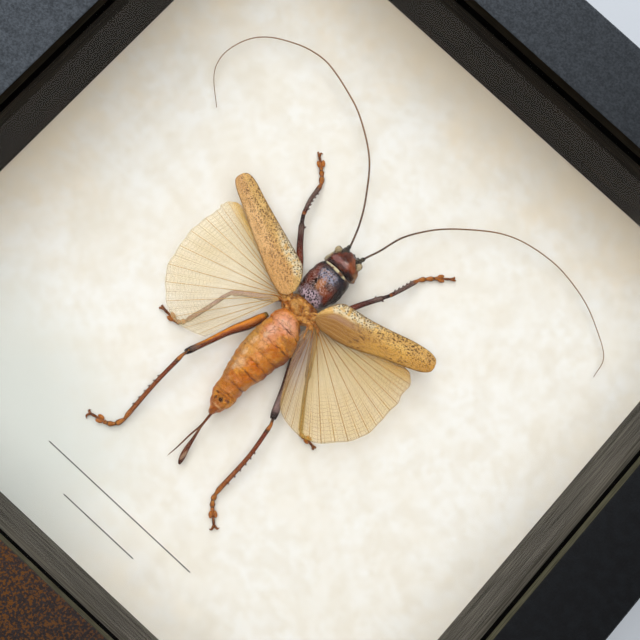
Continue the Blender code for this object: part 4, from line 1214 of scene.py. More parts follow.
def forewing_finish(name, angle, rear_tone, front_tone, root_tone, fold_amount, dash_amount,
                    speck_start, streak_amount):
    """Leather with veins, specks, dashes and lace. Amounts run from 0 to 1, the start is along."""
    made, shader, place = finish(name, 0.5, Coat_Weight=0.12, Coat_Roughness=0.25,
                                 Specular_IOR_Level=0.12)
    own = wing_place(place, angle)
    along, share = marked(place, "along"), marked(place, "share")
    drawn = add("VectorMath", {0: own, 1: (0.22, 1.0, 1.0)}, operation="MULTIPLY")
    broad = mottle(drawn, 0.42, 0.36, 0.62)
    colour = lay(ramp(share, 0.35, 0.7), rear_tone, front_tone)
    colour = lay(broad, colour, tone(186, 134, 66), 0.45)
    root = times(ramp(along, 6.0, 26.0, 0.85, 0.0), fade(share, 0.55, 0.8))
    colour = lay(root, colour, root_tone)
    off_streak = gap(share, 0.56)
    streak = times(ramp(off_streak, 0.03, 0.12, streak_amount, 0.0),
                   times(ramp(along, 2.0, 5.0), fade(along, 9.0, 17.0)))
    colour = lay(streak, colour, tone(186, 150, 138))
    tip = ramp(along, 32.0, 41.0)
    colour = lay(tip, colour, tone(196, 134, 66), 0.35)

    # Veins run along the wing and gather at its root.
    waver = noise(drawn, 0.35, 2.0)
    bent = math_node("MULTIPLY_ADD", waver, 0.12, share)
    veins = lines(bent, 0.115, 0.028)
    behind = ramp(share, 0.4, 0.75, 1.0, 0.35)
    veins = times(veins, times(behind, fold_amount))
    colour = lay(times(veins, ramp(along, 6.0, 34.0, 0.8, 0.15)), colour, tone(138, 92, 40))
    shifted = math_node("ADD", bent, 0.05)
    lights = lines(shifted, 0.115, 0.03)
    near = times(ramp(along, 4.0, 24.0, 0.55, 0.0), times(behind, fold_amount))
    colour = lay(times(lights, near), colour, tone(232, 192, 120))
    net = network(own, 2.2, 0.16)
    colour = lay(net, colour, tone(158, 112, 58), 0.32)

    # Small round specks lie all over, longer dashes in loose groups.
    for scale, low, high, strength in ((1.15, 0.22, 0.38, 0.8), (1.9, 0.26, 0.42, 0.6)):
        small = cell_dots(own, scale)
        small = ramp(small, low, high, strength, 0.0)
        sparse = mottle(own, scale * 0.5, 0.42, 0.56)
        middle = times(ramp(share, 0.05, 0.5, 0.35, 1.0), ramp(along, speck_start, speck_start + 8.0))
        dots = times(small, sparse, middle)
        colour = lay(dots, colour, tone(96, 58, 28))
    long = add("VectorMath", {0: own, 1: (0.5, 1.15, 1.0)}, operation="MULTIPLY")
    long = cell_dots(long, 0.95)
    long = fade(long, 0.18, 0.32)
    held = mottle(own, 0.26, 0.48, 0.6)
    dashes = times(long, held, dash_amount)
    colour = lay(times(dashes, ramp(along, 9.0, 17.0)), colour, tone(88, 52, 26))

    # A whitish lace with dark holes covers the root of the front edge.
    lace_reach = times(fade(along, 12.0, 27.0), ramp(along, 2.5, 5.0))
    lace_front = ramp(math_node("MULTIPLY_ADD", lace_reach, 0.25, share), 0.86, 1.02)
    lace = lay(network(own, 1.25, 0.27), tone(58, 42, 28), tone(228, 212, 178))
    thin = mottle(own, 0.8, 0.34, 0.54)
    lace_mask = times(lace_front, lace_reach, thin)
    colour = lay(lace_mask, colour, lace)
    edge_holes = fade(cell_dots(own, 1.3), 0.2, 0.34)
    edge_holes = times(edge_holes, ramp(share, 0.84, 0.92))
    colour = lay(times(edge_holes, ramp(along, 34.0, 40.0, 0.8, 0.0)), colour, tone(84, 62, 38))
    rim = ramp(gap(share, 0.5), 0.455, 0.49)
    colour = lay(rim, colour, tone(132, 90, 42), 0.45)
    colour_in(shader, colour)
    height = math_node("MULTIPLY_ADD", lights, times(near, 3.0), net)
    bump(shader, math_node("MULTIPLY_ADD", broad, 1.5, height), 0.12, 0.7)
    return made


# Rows are (front x, front y, rear x, rear y, height).
FOREWINGS = {
    "forewing_left": [
        (-5.1, 5.6, -5.8, 3.0, 10.4), (-5.9, 9.0, -8.2, 1.7, 10.4), (-8.4, 12.6, -12.0, 2.5, 10.2),
        (-12.6, 14.4, -15.8, 4.0, 9.9), (-18.0, 16.2, -21.0, 6.6, 9.6),
        (-25.5, 18.6, -29.0, 10.8, 9.2), (-32.8, 21.1, -37.0, 15.0, 8.8),
        (-38.2, 23.1, -41.4, 17.4, 8.5), (-41.4, 23.4, -43.3, 19.2, 8.4),
        (-42.9, 22.3, -43.4, 20.8, 8.4)],
    "forewing_right": [
        (5.0, 5.4, 5.5, 3.0, 10.4), (6.2, 8.8, 8.2, 1.9, 10.4), (8.6, 12.6, 12.2, 2.1, 10.2),
        (13.2, 13.9, 16.4, 2.9, 9.9), (19.0, 15.0, 21.6, 4.8, 9.6), (26.0, 17.0, 28.5, 8.2, 9.2),
        (33.0, 19.2, 36.0, 11.2, 8.8), (38.6, 20.3, 41.0, 13.6, 8.5),
        (41.6, 20.0, 43.2, 15.6, 8.4), (42.9, 18.9, 43.4, 17.4, 8.4)],
}
leather_left = forewing_finish("leather_left", math.radians(155.5), tone(242, 197, 139),
                               tone(239, 202, 130), tone(216, 162, 97), 0.15, 0.45, -2.0, 0.0)
leather_right = forewing_finish("leather_right", math.radians(20.5), tone(220, 168, 76),
                                tone(242, 200, 118), tone(136, 88, 34), 0.30, 0.9, 7.0, 0.4)


def vein_finish(name, dark, light):
    made, shader, place = finish(name, 0.5, Specular_IOR_Level=0.15)
    bands = mottle(place, 0.5, 0.35, 0.65)
    colour_in(shader, lay(bands, dark, light))
    return made


vein_straw = vein_finish("vein_straw", tone(168, 130, 66), tone(196, 158, 88))
vein_brown = vein_finish("vein_brown", tone(128, 92, 40), tone(166, 126, 60))
print("forewing finishes:", leather_left.name, leather_right.name)

# %% Forewings
LEATHER_THICKNESS = 0.3
CHORD_RISE = 0.25 * MM
CHORD_PARTS = 12
WING_ROWS = 64
VEINS = ((0.30, 0.11, 0.45), (0.50, 0.16, 0.85), (0.66, 0.13, 0.70))
OFF_WING = 50.0

for node, knots in FOREWINGS.items():
    leather = leather_left if node.endswith("left") else leather_right
    rows = through(knots, WING_ROWS).tolist()
    ends = [(at(rx, ry, height), at(fx, fy, height)) for fx, fy, rx, ry, height in rows]
    wing = bow(node + "_leather", *ends[0], CHORD_RISE, CHORD_PARTS)
    moves = []
    for (rear, front), (next_rear, next_front) in zip(ends, ends[1:]):
        chord, next_chord = front - rear, next_front - next_rear
        turn = math.atan2(next_chord.y, next_chord.x) - math.atan2(chord.y, chord.x)
        stretch = next_chord.length / chord.length
        centre, next_centre = (rear + front) / 2, (next_rear + next_front) / 2
        moves.append((next_centre - centre, turn, (stretch,) * 3, next_centre))
    edit_all()
    draw_out(moves)
    bpy.ops.object.mode_set(mode="OBJECT")
    wing.data.materials.append(leather)
    close_sheet(wing, LEATHER_THICKNESS)

    # A vertex belongs to the chord that it lies closest to, leaving out chords it is not beside.
    rears = np.array([row[2:4] for row in rows])
    chords = np.array([row[0:2] for row in rows]) - rears
    widths = np.hypot(*chords.T)
    spots = corners(wing)[:, None, :2] - rears
    shares = np.sum(spots * chords, axis=2) / widths ** 2
    off_line = np.abs(spots[..., 0] * chords[:, 1] - spots[..., 1] * chords[:, 0]) / widths
    nearest = np.argmin(off_line + OFF_WING * ((shares < -0.1) | (shares > 1.1)), axis=1)
    middles = rears + chords / 2
    travelled = np.concatenate([[0.0], np.cumsum(np.hypot(*np.diff(middles, axis=0).T))])
    mark(wing, "along", travelled[nearest])
    mark(wing, "share", np.clip(shares[np.arange(len(nearest)), nearest], 0.0, 1.0))

    parts = [wing]
    for share, thick, last in VEINS:
        vein = []
        count = int(len(rows) * last)
        for step, (fx, fy, rx, ry, height) in enumerate(rows[:count]):
            arch = 0.085 * math.hypot(fx - rx, fy - ry) * (1 - (2 * share - 1) ** 2)
            vein.append((rx + (fx - rx) * share, ry + (fy - ry) * share, height + arch + 0.10,
                         thick * (1.0 - 0.8 * step / count)))
        parts.append(tube("vein", vein, vein_straw, rings=2))
    stand_in(join(node + "_leather", parts), node)

# %% [markdown]
# The hindwing is a pleated fan. One ray of points is turned about the hinge again and again, and
# stretched each time to reach the wing's outline. Stretching it in height as well makes the rays
# rise and fall by turns, which gives the pleats. The sheet is thin and lets the paper and the
# middle leg show through, so its finish uses alpha. Each vertex keeps its ray's number, its
# distance from the hinge and its distance from the margin, which place the net of fine veins. The
# main veins are thin tubes on the ridges, and the margin swells a little where they end.

# %% Hindwing finish
RAY_ANGLE = math.radians(3.5)


def membrane_finish(name, pale, golden, rear, rear_amount, thin, net_strength):
    """A clear sheet with radial veins. Ray counts the folds, reach and inset are millimetres."""
    made, shader, place = finish(name, 0.45, Specular_IOR_Level=0.12)
    ray, reach, inset = (marked(place, label) for label in ("ray", "reach", "inset"))
    ray_width = times(reach, RAY_ANGLE)

    def radial(step, shift, width, strength):
        wide = math_node("DIVIDE", width, ray_width)
        shifted = math_node("ADD", ray, shift)
        found = lines(shifted, step, wide)
        return times(found, strength)

    shade = mottle(place, 0.12, 0.35, 0.65)
    colour = lay(shade, pale, golden, 0.3)
    hinge_side = fade(reach, 3.0, 14.0)
    colour = lay(hinge_side, colour, tone(178, 128, 72), 0.7)
    front = fade(ray, 1.4, 4.2)
    colour = lay(front, colour, golden, 0.85)
    folded = times(ramp(ray, 15.5, 19.5), ramp(reach, 12.0, 27.0, 1.0, rear_amount))
    colour = lay(folded, colour, rear)

    outer = ramp(inset, 2.0, 20.0, 1.0, 0.25)
    middle = radial(1.0, 0.0, 0.15, times(outer, 0.55 * net_strength))
    fine = radial(0.5, 0.25, 0.12, times(outer, 0.32 * net_strength))
    sector = add("TexWhiteNoise", {"W": math_node("FLOOR", ray)}, out="Value", noise_dimensions="1D")
    sway = noise(place, 0.3, 1.0)
    bent = math_node("MULTIPLY_ADD", sway, 0.8, math_node("MULTIPLY_ADD", sector, 0.7, inset))
    cross = lines(bent, 1.15, 0.13)
    cross = times(cross, ramp(inset, 4.0, 20.0, 0.44, 0.08))
    cross = times(cross, net_strength)
    fine = math_node("MAXIMUM", fine, cross)
    colour = lay(fine, colour, tone(180, 142, 70))
    colour = lay(middle, colour, tone(158, 118, 54))
    colour_in(shader, colour)

    solid = math_node("MAXIMUM", fine, middle)
    for mask, strength in ((front, 0.50), (hinge_side, 0.12)):
        solid = math_node("MAXIMUM", solid, times(mask, strength))
    margin = ramp(inset, 0.1, 0.5, 0.25, 0.0)
    solid = math_node("MAXIMUM", solid, margin)
    # The real sheet tints light rather than stopping it, so it casts only a faint shadow.
    alpha = add("MapRange", {0: solid, 3: thin, 4: 0.85})
    shadow = add("LightPath", tree=place.id_data, out="Is Shadow Ray")
    alpha = times(alpha, math_node("MULTIPLY_ADD", shadow, -0.7, 1.0))
    colour_in(shader, alpha, "Alpha")
    return made


membrane_left = membrane_finish("membrane_left", tone(230, 206, 138), tone(216, 172, 72),
                                tone(222, 202, 154), 1.0, 0.13, 0.75)
membrane_right = membrane_finish("membrane_right", tone(210, 176, 82), tone(200, 152, 60),
                                 tone(146, 120, 116), 0.3, 0.20, 1.0)

# Each is the hinge, then points of the outline from the front margin to the rear.
HINDWINGS = {
    "hindwing_left": ((-6.0, 2.6), [
        (-36.5, 14.6), (-39.4, 13.4), (-41.2, 10.6), (-40.8, 8.6), (-41.7, 4.5), (-42.5, -2.0),
        (-41.7, -8.3), (-40.1, -15.5), (-36.4, -20.4), (-31.5, -24.8), (-26.2, -26.7),
        (-20.6, -25.7), (-16.2, -24.0)]),
    "hindwing_right": ((6.4, 2.6), [
        (36.5, 11.6), (39.6, 10.8), (41.7, 7.8), (41.5, 5.2), (42.4, 1.6), (42.2, -4.0),
        (42.2, -9.5), (40.6, -15.0), (36.5, -20.4), (31.0, -25.3), (25.3, -26.8), (19.4, -26.0),
        (15.2, -23.4), (10.0, -14.0), (6.6, -6.6), (5.0, -2.6)]),
}
print("hindwing finishes ready")

# %% Hindwings
HINGE_HEIGHT = 8.6
RIM_DROP = 1.3
PLEAT = 0.22
SCALLOP = 0.003
FAN_RAYS = 27
RAY_PARTS = 4
FIRST_RADIUS = 1.6
RAY_CUTS = 23
MEMBRANE_THICKNESS = 0.16
VEIN_SHARES = np.linspace(0.05, 0.99, 14)

for node, (root, margin) in HINDWINGS.items():
    count = (FAN_RAYS - 1) * RAY_PARTS + 1
    swell = 1.0 - SCALLOP * np.cos(np.pi * np.arange(count) / RAY_PARTS)
    rim = (through(margin, count) - np.array(root)) * swell[:, None]
    hinge = at(*root, HINGE_HEIGHT)
    reaches = np.hypot(*rim.T)
    angles = np.unwrap(np.arctan2(rim[:, 1], rim[:, 0]))
    drops = RIM_DROP + PLEAT * np.cos(np.pi * np.arange(count) / RAY_PARTS)
    tip = at(root[0] + rim[0, 0], root[1] + rim[0, 1], HINGE_HEIGHT - drops[0])
    near = hinge + (tip - hinge) * FIRST_RADIUS / reaches[0]

    # The first ray is one edge of a plane, subdivided and laid from the hinge to the outline.
    bpy.ops.object.select_all(action="DESELECT")
    bpy.ops.mesh.primitive_plane_add(size=1.0, location=(0.5, 0.5, 0.0))
    fan = bpy.context.active_object
    apply_place(fan)
    bpy.ops.object.mode_set(mode="EDIT")
    select_where(lambda middle, vert: middle.y > 0.5)
    bpy.ops.mesh.delete(type="VERT")
    bpy.ops.mesh.select_all(action="SELECT")
    bpy.ops.mesh.subdivide(number_cuts=RAY_CUTS)
    bpy.ops.object.mode_set(mode="OBJECT")
    fan.scale = ((tip - near).length,) * 3
    fan.rotation_mode = "QUATERNION"
    fan.rotation_quaternion = (tip - near).to_track_quat("X", "Z")
    fan.location = near
    apply_place(fan)
    moves = []
    for k in range(1, count):
        stretch = reaches[k] / reaches[k - 1]
        moves.append(((0, 0, 0), angles[k] - angles[k - 1],
                      (stretch, stretch, drops[k] / drops[k - 1]), hinge))
    edit_all()
    draw_out(moves)
    bpy.ops.object.mode_set(mode="OBJECT")
    fan.data.materials.append(membrane_left if node.endswith("left") else membrane_right)
    close_sheet(fan, MEMBRANE_THICKNESS)

    spots = corners(fan)[:, :2] - np.array(root)
    turned = math.copysign(1.0, angles[-1] - angles[0])
    middle_angle = (angles[0] + angles[-1]) / 2
    bearing = np.arctan2(spots[:, 1], spots[:, 0]) - middle_angle
    bearing = (bearing + math.pi) % (2 * math.pi) - math.pi + middle_angle
    steps = np.interp(turned * bearing, turned * angles, np.arange(count))
    distance = np.hypot(*spots.T)
    mark(fan, "ray", steps / RAY_PARTS)
    mark(fan, "reach", distance)
    mark(fan, "inset", np.interp(steps, np.arange(count), reaches) - distance)

    parts = [fan]
    for k in range(RAY_PARTS, count, 2 * RAY_PARTS):
        vein = []
        for share in VEIN_SHARES:
            x, y = np.array(root) + rim[k] * share
            thick = 0.13 * (1.0 - 0.6 * share)
            vein.append((float(x), float(y), float(HINGE_HEIGHT - drops[k] * share + 0.10), float(thick)))
        parts.append(tube("vein", vein, vein_straw if node.endswith("left") else vein_brown, rings=1))
    stand_in(join(node + "_fan", parts), node)

# %% [markdown]
# A leg is a chain: femur, tibia and a tarsus that ends in a two-lobed pad, a thin last joint and
# two claws. Each part is a tube whose radius follows a girth table along its joints, which keeps
# all six legs alike while every leg has its own bend. Spines are small cones along the tibia.

# %% Leg finishes
def leg_finish(name, bands, shine, left=None, right=None):
    """Colours along a leg part: bands are (share of its length, colour), then a tone per side."""
    made, shader, place = finish(name, 0.36, Coat_Weight=0.18, Coat_Roughness=0.1,
                                 Specular_IOR_Level=0.06)
    share, side = marked(place, "leg_share"), marked(place, "leg_side")
    unevenness = noise(place, 0.8, 3.0)
    share = math_node("MULTIPLY_ADD", math_node("SUBTRACT", unevenness, 0.5), 0.06, share)
    side = math_node("MULTIPLY_ADD", math_node("SUBTRACT", unevenness, 0.5), 0.8, side)
    colour = bands[0][1]
    for (start, _), (stop, above) in zip(bands, bands[1:]):
        colour = lay(ramp(share, start, stop), colour, above)
    broad = mottle(place, 0.9, 0.45, 0.66)
    colour = lay(broad, colour, tone(52, 22, 12), 0.35)
    body = times(ramp(share, 0.0, 0.1), fade(share, 0.7, 0.95))
    if left:
        on_left = times(ramp(side, -0.1, 0.6, 0.0, 0.85), body)
        colour = lay(on_left, colour, left)
    if right:
        on_right = times(ramp(side, -0.6, 0.1, 0.85, 0.0), body)
        colour = lay(on_right, colour, right)
    # Streaks in the shine tone are painted highlights.
    streaks = mottle(place, 1.5, 0.56, 0.7)
    colour = lay(streaks, colour, shine, 0.45)
    # Painted shade: both rims of each leg part are darkened.
    edge = ramp(math_node("ABSOLUTE", side), 0.55, 1.0, 0.0, 0.8)
    colour = lay(edge, colour, tone(44, 18, 10))
    colour_in(shader, colour)
    bump(shader, use("pebbles", {"Place": place, "Scale": 1.6}), 0.12, 0.6)
    return made


dark_red, red_brown, orange_brown = tone(62, 20, 12), tone(112, 46, 24), tone(158, 90, 34)
greyish, amber, near_black = tone(98, 76, 68), tone(170, 100, 38), tone(26, 13, 9)
mauve = tone(150, 116, 110)
femur_dark = leg_finish("femur_dark", ((0.0, red_brown), (0.45, red_brown), (0.75, dark_red),
                                       (0.88, greyish), (1.0, near_black)), mauve)
# On the left hind femur the orange side tone is a painted highlight on the side towards the light, and the
# dark one is painted shade on the other side.
femur_orange = leg_finish("femur_orange", ((0.0, tone(96, 88, 40)), (0.08, tone(188, 112, 28)),
                                           (0.50, tone(150, 74, 26)), (0.80, tone(96, 44, 28)),
                                           (0.90, greyish), (0.98, near_black)),
                          tone(200, 132, 44), tone(216, 132, 22), tone(98, 36, 8))
femur_shaded = leg_finish("femur_shaded", ((0.0, red_brown), (0.40, red_brown), (0.70, greyish),
                                           (0.94, tone(132, 108, 104)), (0.99, near_black)),
                          mauve, dark_red, tone(122, 94, 86))
femur_pale = leg_finish("femur_pale", ((0.0, tone(180, 146, 152)), (1.0, tone(152, 114, 126))),
                        tone(196, 168, 176))
tibia_pale = leg_finish("tibia_pale", ((0.0, tone(152, 114, 126)), (1.0, tone(140, 90, 76))),
                        tone(190, 158, 160))
femur_under = leg_finish("femur_under", ((0.0, tone(112, 90, 116)), (1.0, tone(64, 44, 56))),
                         tone(138, 118, 140))
tibia_under = leg_finish("tibia_under", ((0.0, tone(56, 42, 66)), (1.0, tone(84, 52, 36))),
                         tone(124, 100, 104))
tibia_fore = leg_finish("tibia_fore", ((0.0, orange_brown), (0.12, dark_red), (0.30, greyish),
                                       (0.85, greyish), (1.0, orange_brown)), mauve)
tibia_hind = leg_finish("tibia_hind", ((0.0, near_black), (0.03, amber), (0.08, amber),
                                       (0.11, near_black), (0.16, red_brown),
                                       (0.60, tone(132, 68, 32)), (0.85, tone(140, 76, 34)),
                                       (1.0, amber)), tone(176, 116, 70))
joint_dark = tone(74, 36, 14)
tarsus_amber = leg_finish("tarsus_amber", ((0.0, joint_dark), (0.06, amber), (0.32, tone(168, 102, 36)),
                                           (0.40, joint_dark), (0.48, amber), (0.72, tone(164, 98, 34)),
                                           (0.80, joint_dark), (0.88, amber), (1.0, orange_brown)),
                          tone(214, 160, 84))
claw_brown = leg_finish("claw_brown", ((0.0, amber), (0.5, tone(132, 74, 30)), (1.0, tone(88, 42, 18))),
                        tone(160, 100, 50))
print("leg finishes:", femur_dark.name, tibia_hind.name, tarsus_amber.name)

# %% Legs
# Rows are (x, y, height). A spine is (share of the part's length, side), claws are two tips.
LEGS = {
    "foreleg_left": {
        "femur": [(-7.3, 10.3, 4.4), (-10.7, 14.2, 4.6), (-14.4, 18.2, 5.0), (-18.8, 23.9, 5.6)],
        "tibia": [(-20.2, 26.1, 5.5), (-22.0, 31.4, 4.2), (-22.9, 37.0, 2.4)],
        "tarsus": [(-23.3, 38.4, 1.5), (-24.9, 40.6, 1.1), (-26.5, 42.0, 1.0), (-28.0, 43.6, 1.0),
                   (-30.0, 44.9, 1.0)],
        "thickness": (1.15, 0.80), "femur_spines": ((0.93, 1),),
        "tibia_spines": ((0.22, 1), (0.37, 1), (0.51, 1), (0.65, 1), (0.80, 1)),
        "claws": (-31.3, 45.9, -29.8, 46.6)},
    "foreleg_right": {
        "femur": [(7.4, 7.3, 4.4), (10.0, 11.2, 4.7), (13.2, 17.5, 5.0), (16.9, 23.9, 5.6)],
        "tibia": [(17.8, 25.5, 5.5), (19.5, 30.2, 4.3), (20.9, 35.1, 2.4)],
        "tarsus": [(21.4, 36.6, 1.5), (22.9, 38.6, 1.1), (24.9, 40.7, 1.0), (26.4, 42.2, 1.0),
                   (28.8, 44.1, 1.0)],
        "thickness": (1.00, 0.75), "femur_spines": ((0.88, -1), (0.96, 1)),
        "tibia_spines": ((0.24, -1), (0.40, -1), (0.56, -1), (0.72, -1), (0.88, -1)),
        "claws": (29.2, 45.7, 30.4, 44.8)},
    "midleg_left": {
        "femur": [(-7.2, 1.4, 3.8), (-9.9, -1.1, 4.2), (-15.4, -4.4, 4.4), (-19.8, -8.0, 4.5)],
        "tibia": [(-20.6, -9.7, 4.4), (-22.3, -16.4, 3.1), (-24.3, -23.0, 1.8)],
        "tarsus": [(-24.7, -24.3, 1.4), (-25.6, -25.5, 1.1), (-26.9, -26.3, 1.0),
                   (-28.9, -26.3, 1.0), (-32.4, -26.1, 1.0)],
        "thickness": (1.15, 0.80), "femur_spines": (), "tibia_spines": (),
        "claws": (-33.5, -27.1, -33.4, -25.5)},
    "midleg_right": {
        "femur": [(7.2, 2.6, 4.0), (9.8, -1.4, 4.3), (13.4, -7.2, 4.4), (16.3, -11.8, 4.5)],
        "tibia": [(17.2, -13.2, 4.4), (20.8, -18.4, 3.0), (25.6, -24.8, 1.8)],
        "tarsus": [(26.5, -25.7, 1.4), (27.3, -26.1, 1.1), (28.2, -26.0, 1.0), (29.3, -25.8, 1.0),
                   (31.7, -26.1, 1.0)],
        "thickness": (1.15, 0.70), "femur_spines": (), "tibia_spines": (),
        "claws": (32.6, -25.6, 32.2, -27.0)},
    "hindleg_left": {
        "femur": [(-6.9, -5.2, 4.2), (-8.8, -11.2, 5.2), (-11.8, -17.3, 5.9), (-14.7, -24.9, 6.3),
                  (-17.1, -30.9, 6.4)],
        "tibia": [(-17.5, -33.0, 6.2), (-17.9, -45.0, 4.0), (-17.6, -58.0, 2.2)],
        "tarsus": [(-17.4, -59.8, 1.5), (-18.6, -62.7, 1.2), (-20.7, -64.3, 1.0),
                   (-23.1, -64.8, 1.0), (-26.4, -65.6, 1.0)],
        "thickness": (1.75, 0.78), "femur_spines": ((0.96, -1),),
        "tibia_spines": ((0.40, 1), (0.48, 1), (0.57, 1), (0.65, 1), (0.75, 1), (0.85, 1)),
        "claws": (-27.2, -64.7, -26.2, -67.6)},
    "hindleg_right": {
        "femur": [(7.2, -2.6, 3.3), (8.3, -7.6, 3.0), (10.0, -13.0, 3.1), (12.8, -19.0, 3.9),
                  (16.6, -27.9, 5.3)],
        "tibia": [(17.7, -30.3, 5.4), (19.2, -42.0, 4.0), (19.3, -56.0, 2.2)],
        "tarsus": [(19.5, -57.7, 1.5), (20.2, -59.6, 1.2), (21.6, -61.3, 1.0), (23.1, -62.7, 1.0),
                   (25.6, -64.9, 1.0)],
        "thickness": (1.40, 0.78), "femur_spines": ((0.96, 1),),
        "tibia_spines": ((0.42, -1), (0.50, -1), (0.59, -1), (0.68, -1), (0.77, -1), (0.87, -1)),
        "claws": (25.3, -66.8, 27.4, -64.4)},
}
FEMUR_GIRTH = [(0.0, 0.65), (0.12, 0.92), (0.45, 1.0), (0.85, 0.85), (0.95, 0.9), (1.0, 0.6)]
HIND_FEMUR_GIRTH = [(0.0, 0.50), (0.12, 0.85), (0.28, 1.0), (0.42, 0.85), (0.55, 0.66),
                    (0.75, 0.55), (0.90, 0.57), (0.96, 0.62), (1.0, 0.52)]
KNEE_SWELL = {"hindleg_left": 1.05, "hindleg_right": 1.5}
FINISHES = {"foreleg": (femur_dark, tibia_fore),
            "midleg_left": (femur_pale, tibia_pale), "midleg_right": (femur_under, tibia_under),
            "hindleg_left": (femur_orange, tibia_hind), "hindleg_right": (femur_shaded, tibia_hind)}
TIBIA_GIRTH = [(0.0, 0.70), (0.06, 0.95), (0.16, 0.88), (0.50, 0.90), (0.90, 1.0), (1.0, 1.05)]
TARSUS_GIRTH = [(0.0, 0.55), (0.10, 0.90), (0.18, 0.95), (0.24, 0.60), (0.28, 0.60), (0.40, 0.95),
                (0.47, 0.65), (0.52, 0.60), (0.60, 0.80)]
LAST_JOINT = [(0.60, 0.35), (0.82, 0.36), (0.95, 0.52), (1.0, 0.36)]
FINE_STEPS = 400
LEG_STEPS = 40


def leg_rows(knots, girth, thick, count=LEG_STEPS + 1, start=0.0, end=1.0):
    """Rows of a leg part: points along its joints with a radius at each."""
    fine = through(knots, FINE_STEPS + 1)
    shares = np.linspace(start, end, count)
    points = fine[np.rint(shares * FINE_STEPS).astype(int)]
    radii = np.interp(shares, [g[0] for g in girth], [g[1] for g in girth]) * thick
    return [(*map(float, point), float(radius)) for point, radius in zip(points, radii)]


def leg_point(knots, share):
    """A point on a leg part with its direction, both in millimetres."""
    fine = through(knots, FINE_STEPS + 1)
    index = int(round(share * FINE_STEPS))
    ahead = fine[min(index + 2, FINE_STEPS)] - fine[max(index - 2, 0)]
    return Vector(fine[index]), Vector(ahead).normalized()


def along_leg(piece, rows):
    """Mark each point's place along its leg part, 0 to 1, and across it, from 1 left to -1 right."""
    line = np.array([row[:3] for row in rows]) + (0.0, 0.0, PAPER_LIFT)
    radii = np.array([row[3] for row in rows])
    spots = corners(piece)
    nearest = np.argmin(np.linalg.norm(spots[:, None] - line, axis=2), axis=1)
    ahead = np.gradient(line[:, :2], axis=0)
    left = np.column_stack([ahead[:, 1], -ahead[:, 0]]) / np.linalg.norm(ahead, axis=1)[:, None]
    offset = np.sum((spots[:, :2] - line[nearest, :2]) * left[nearest], axis=1)
    mark(piece, "leg_share", nearest / (len(rows) - 1))
    mark(piece, "leg_side", np.clip(offset / radii[nearest], -1.0, 1.0))
    return piece


def plain_marks(piece, share):
    """Give a small piece one place along its part, and no side."""
    mark(piece, "leg_share", [share] * len(piece.data.vertices))
    mark(piece, "leg_side", [0.0] * len(piece.data.vertices))
    return piece


def thorn(points, radii, material, share=0.5):
    """A small spine or claw through a few points."""
    places = np.linspace(0, 1, 7)
    widths = np.interp(places, np.linspace(0, 1, len(radii)), radii).tolist()
    rows = [(*point, radius) for point, radius in zip(through(points, 7).tolist(), widths)]
    return plain_marks(tube("thorn", rows, material, rings=2), share)


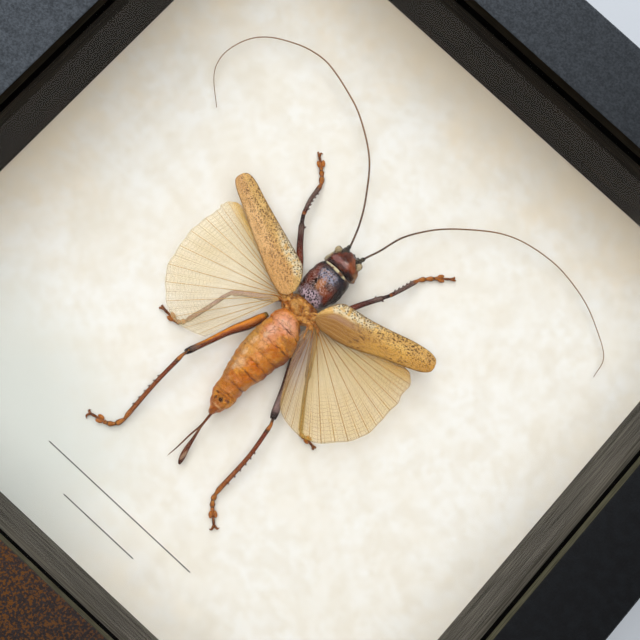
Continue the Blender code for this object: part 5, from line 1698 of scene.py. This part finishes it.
for node, leg in LEGS.items():
    femur, tibia = leg["thickness"]
    hind = node.startswith("hindleg")
    girth = HIND_FEMUR_GIRTH if hind else FEMUR_GIRTH
    thigh_finish, shin_finish = next(pair for start, pair in FINISHES.items() if node.startswith(start))
    swell = KNEE_SWELL.get(node, 1.0)
    thigh = [(x, y, height, radius * float(np.interp(step / LEG_STEPS, (0.5, 0.9), (1.0, swell))))
             for step, (x, y, height, radius) in enumerate(leg_rows(leg["femur"], girth, femur))]
    shin = leg_rows(leg["tibia"], TIBIA_GIRTH, tibia) + [(*leg["tarsus"][0], tibia * 0.6)]
    if hind:
        shin = [(*leg["femur"][-1], tibia * 0.55)] + shin
    else:
        thigh.append((*leg["tibia"][0], tibia * 0.8))
    heel = Vector(leg["tibia"][-1]).lerp(Vector(leg["tarsus"][0]), 0.3)
    foot = [(*heel, tibia * 0.75)] + leg_rows(leg["tarsus"], TARSUS_GIRTH, tibia * 1.25, 31, 0.0, 0.60)
    toe = leg_rows(leg["tarsus"], LAST_JOINT, tibia * 1.2, 12, 0.60, 1.0)
    parts = [along_leg(tube("femur", thigh, thigh_finish, rings=5), thigh),
             along_leg(tube("tibia", shin, shin_finish), shin),
             along_leg(tube("tarsus", foot, tarsus_amber), foot),
             along_leg(tube("last_joint", toe, claw_brown, rings=3), toe)]

    middle, ahead = leg_point(leg["tarsus"], 0.75)
    across = ahead.cross(Vector((0, 0, 1))).normalized()
    for side in (-1, 1):
        lobe = ball("lobe", middle + across * side * tibia * 0.9, (1.55 * tibia, 0.85 * tibia, 0.5),
                    tarsus_amber, math.atan2(ahead.y, ahead.x) + side * -0.15)
        parts.append(plain_marks(lobe, 0.92))
    if hind:
        end, ahead = leg_point(leg["femur"], 0.985)
        across = ahead.cross(Vector((0, 0, 1))).normalized()
        for side in (-1, 1):
            lobe = ball("knee_lobe", end + across * side * thigh[-1][3] * 0.62 + ahead * 0.3,
                        (0.95, 0.42, 0.7), thigh_finish, math.atan2(ahead.y, ahead.x))
            parts.append(plain_marks(lobe, 1.0))

    spines = [("tibia", tibia, TIBIA_GIRTH, share, side) for share, side in leg["tibia_spines"]]
    if not hind:
        spines += [("femur", femur, girth, share, side) for share, side in leg["femur_spines"]]
    for part, thick, table, share, side in spines:
        root, ahead = leg_point(leg[part], share)
        across = ahead.cross(Vector((0, 0, 1))).normalized() * side
        edge = float(np.interp(share, [g[0] for g in table], [g[1] for g in table])) * thick
        points = [root + across * edge * 0.4, root + across * (edge + 0.12) + ahead * 0.12,
                  root + across * (edge + 0.42) + ahead * 0.46]
        parts.append(thorn(points, (0.46, 0.30, 0.05), femur_dark, 0.8))

    root, ahead = leg_point(leg["tarsus"], 1.0)
    for x, y in (leg["claws"][:2], leg["claws"][2:]):
        tip = Vector((x, y, 0.55))
        points = [root, root.lerp(tip, 0.55) + ahead * 0.75, tip]
        parts.append(thorn(points, (0.42, 0.36, 0.08), claw_brown, 0.6))
    stand_in(join(node + "_limb", parts), node)

# %% [markdown]
# The antennae are fine tapered threads that sweep out in wide arcs, lifted off the paper near the
# head. A thread is a curve with a bevel, thick at the head and thin at the tip, turned into a mesh.

# %% Antennae
thread_brown, shader, place = finish("thread_brown", 0.5)
rings = mottle(place, 1.2, 0.4, 0.65)
far = ramp(add("VectorMath", {0: place, 1: (0.0, 27.0, 14.0)}, out="Value", operation="DISTANCE"), 8.0,
           55.0)
colour = lay(rings, tone(66, 44, 28), tone(100, 70, 44))
colour_in(shader, lay(far, colour, tone(150, 106, 62), 0.7))

ANTENNAE = {
    "antenna_left": [
        (-2.2, 28.7, 8.2), (-4.9, 36.1, 7.2), (-9.5, 44.3, 6.9), (-17.3, 54.5, 6.5),
        (-28.6, 62.7, 5.8), (-38.0, 66.6, 5.4), (-48.4, 69.2, 5.0), (-56.0, 68.7, 4.6),
        (-62.6, 66.4, 4.2), (-68.8, 62.9, 3.9), (-73.2, 58.2, 3.5), (-75.7, 51.8, 3.1),
        (-75.8, 45.8, 2.8), (-73.1, 40.5, 2.4), (-65.6, 33.8, 2.0)],
    "antenna_right": [
        (4.1, 28.9, 8.2), (5.9, 34.0, 7.4), (8.2, 42.0, 6.7), (12.4, 49.0, 6.3), (17.1, 54.6, 5.9),
        (24.3, 61.0, 5.4), (31.0, 65.8, 5.0), (38.0, 68.8, 4.6), (46.8, 70.5, 4.1),
        (54.9, 70.6, 3.7), (65.5, 68.5, 3.3), (74.0, 64.8, 2.9), (82.7, 59.1, 2.4),
        (84.6, 51.9, 2.0)],
}
THREAD_ROWS = 260
THREAD_RADII = (0.36, 0.11)
for node, knots in ANTENNAE.items():
    scape_tip = SCAPES[0][1] if node.endswith("left") else SCAPES[1][1]
    route = through([(scape_tip[0], scape_tip[1] - 0.4, 8.2)] + knots, THREAD_ROWS)
    radii = np.linspace(*THREAD_RADII, len(route))
    thread = tube(node + "_thread", [(*map(float, p), float(r)) for p, r in zip(route, radii)],
                  thread_brown, rings=3)
    stand_in(thread, node)
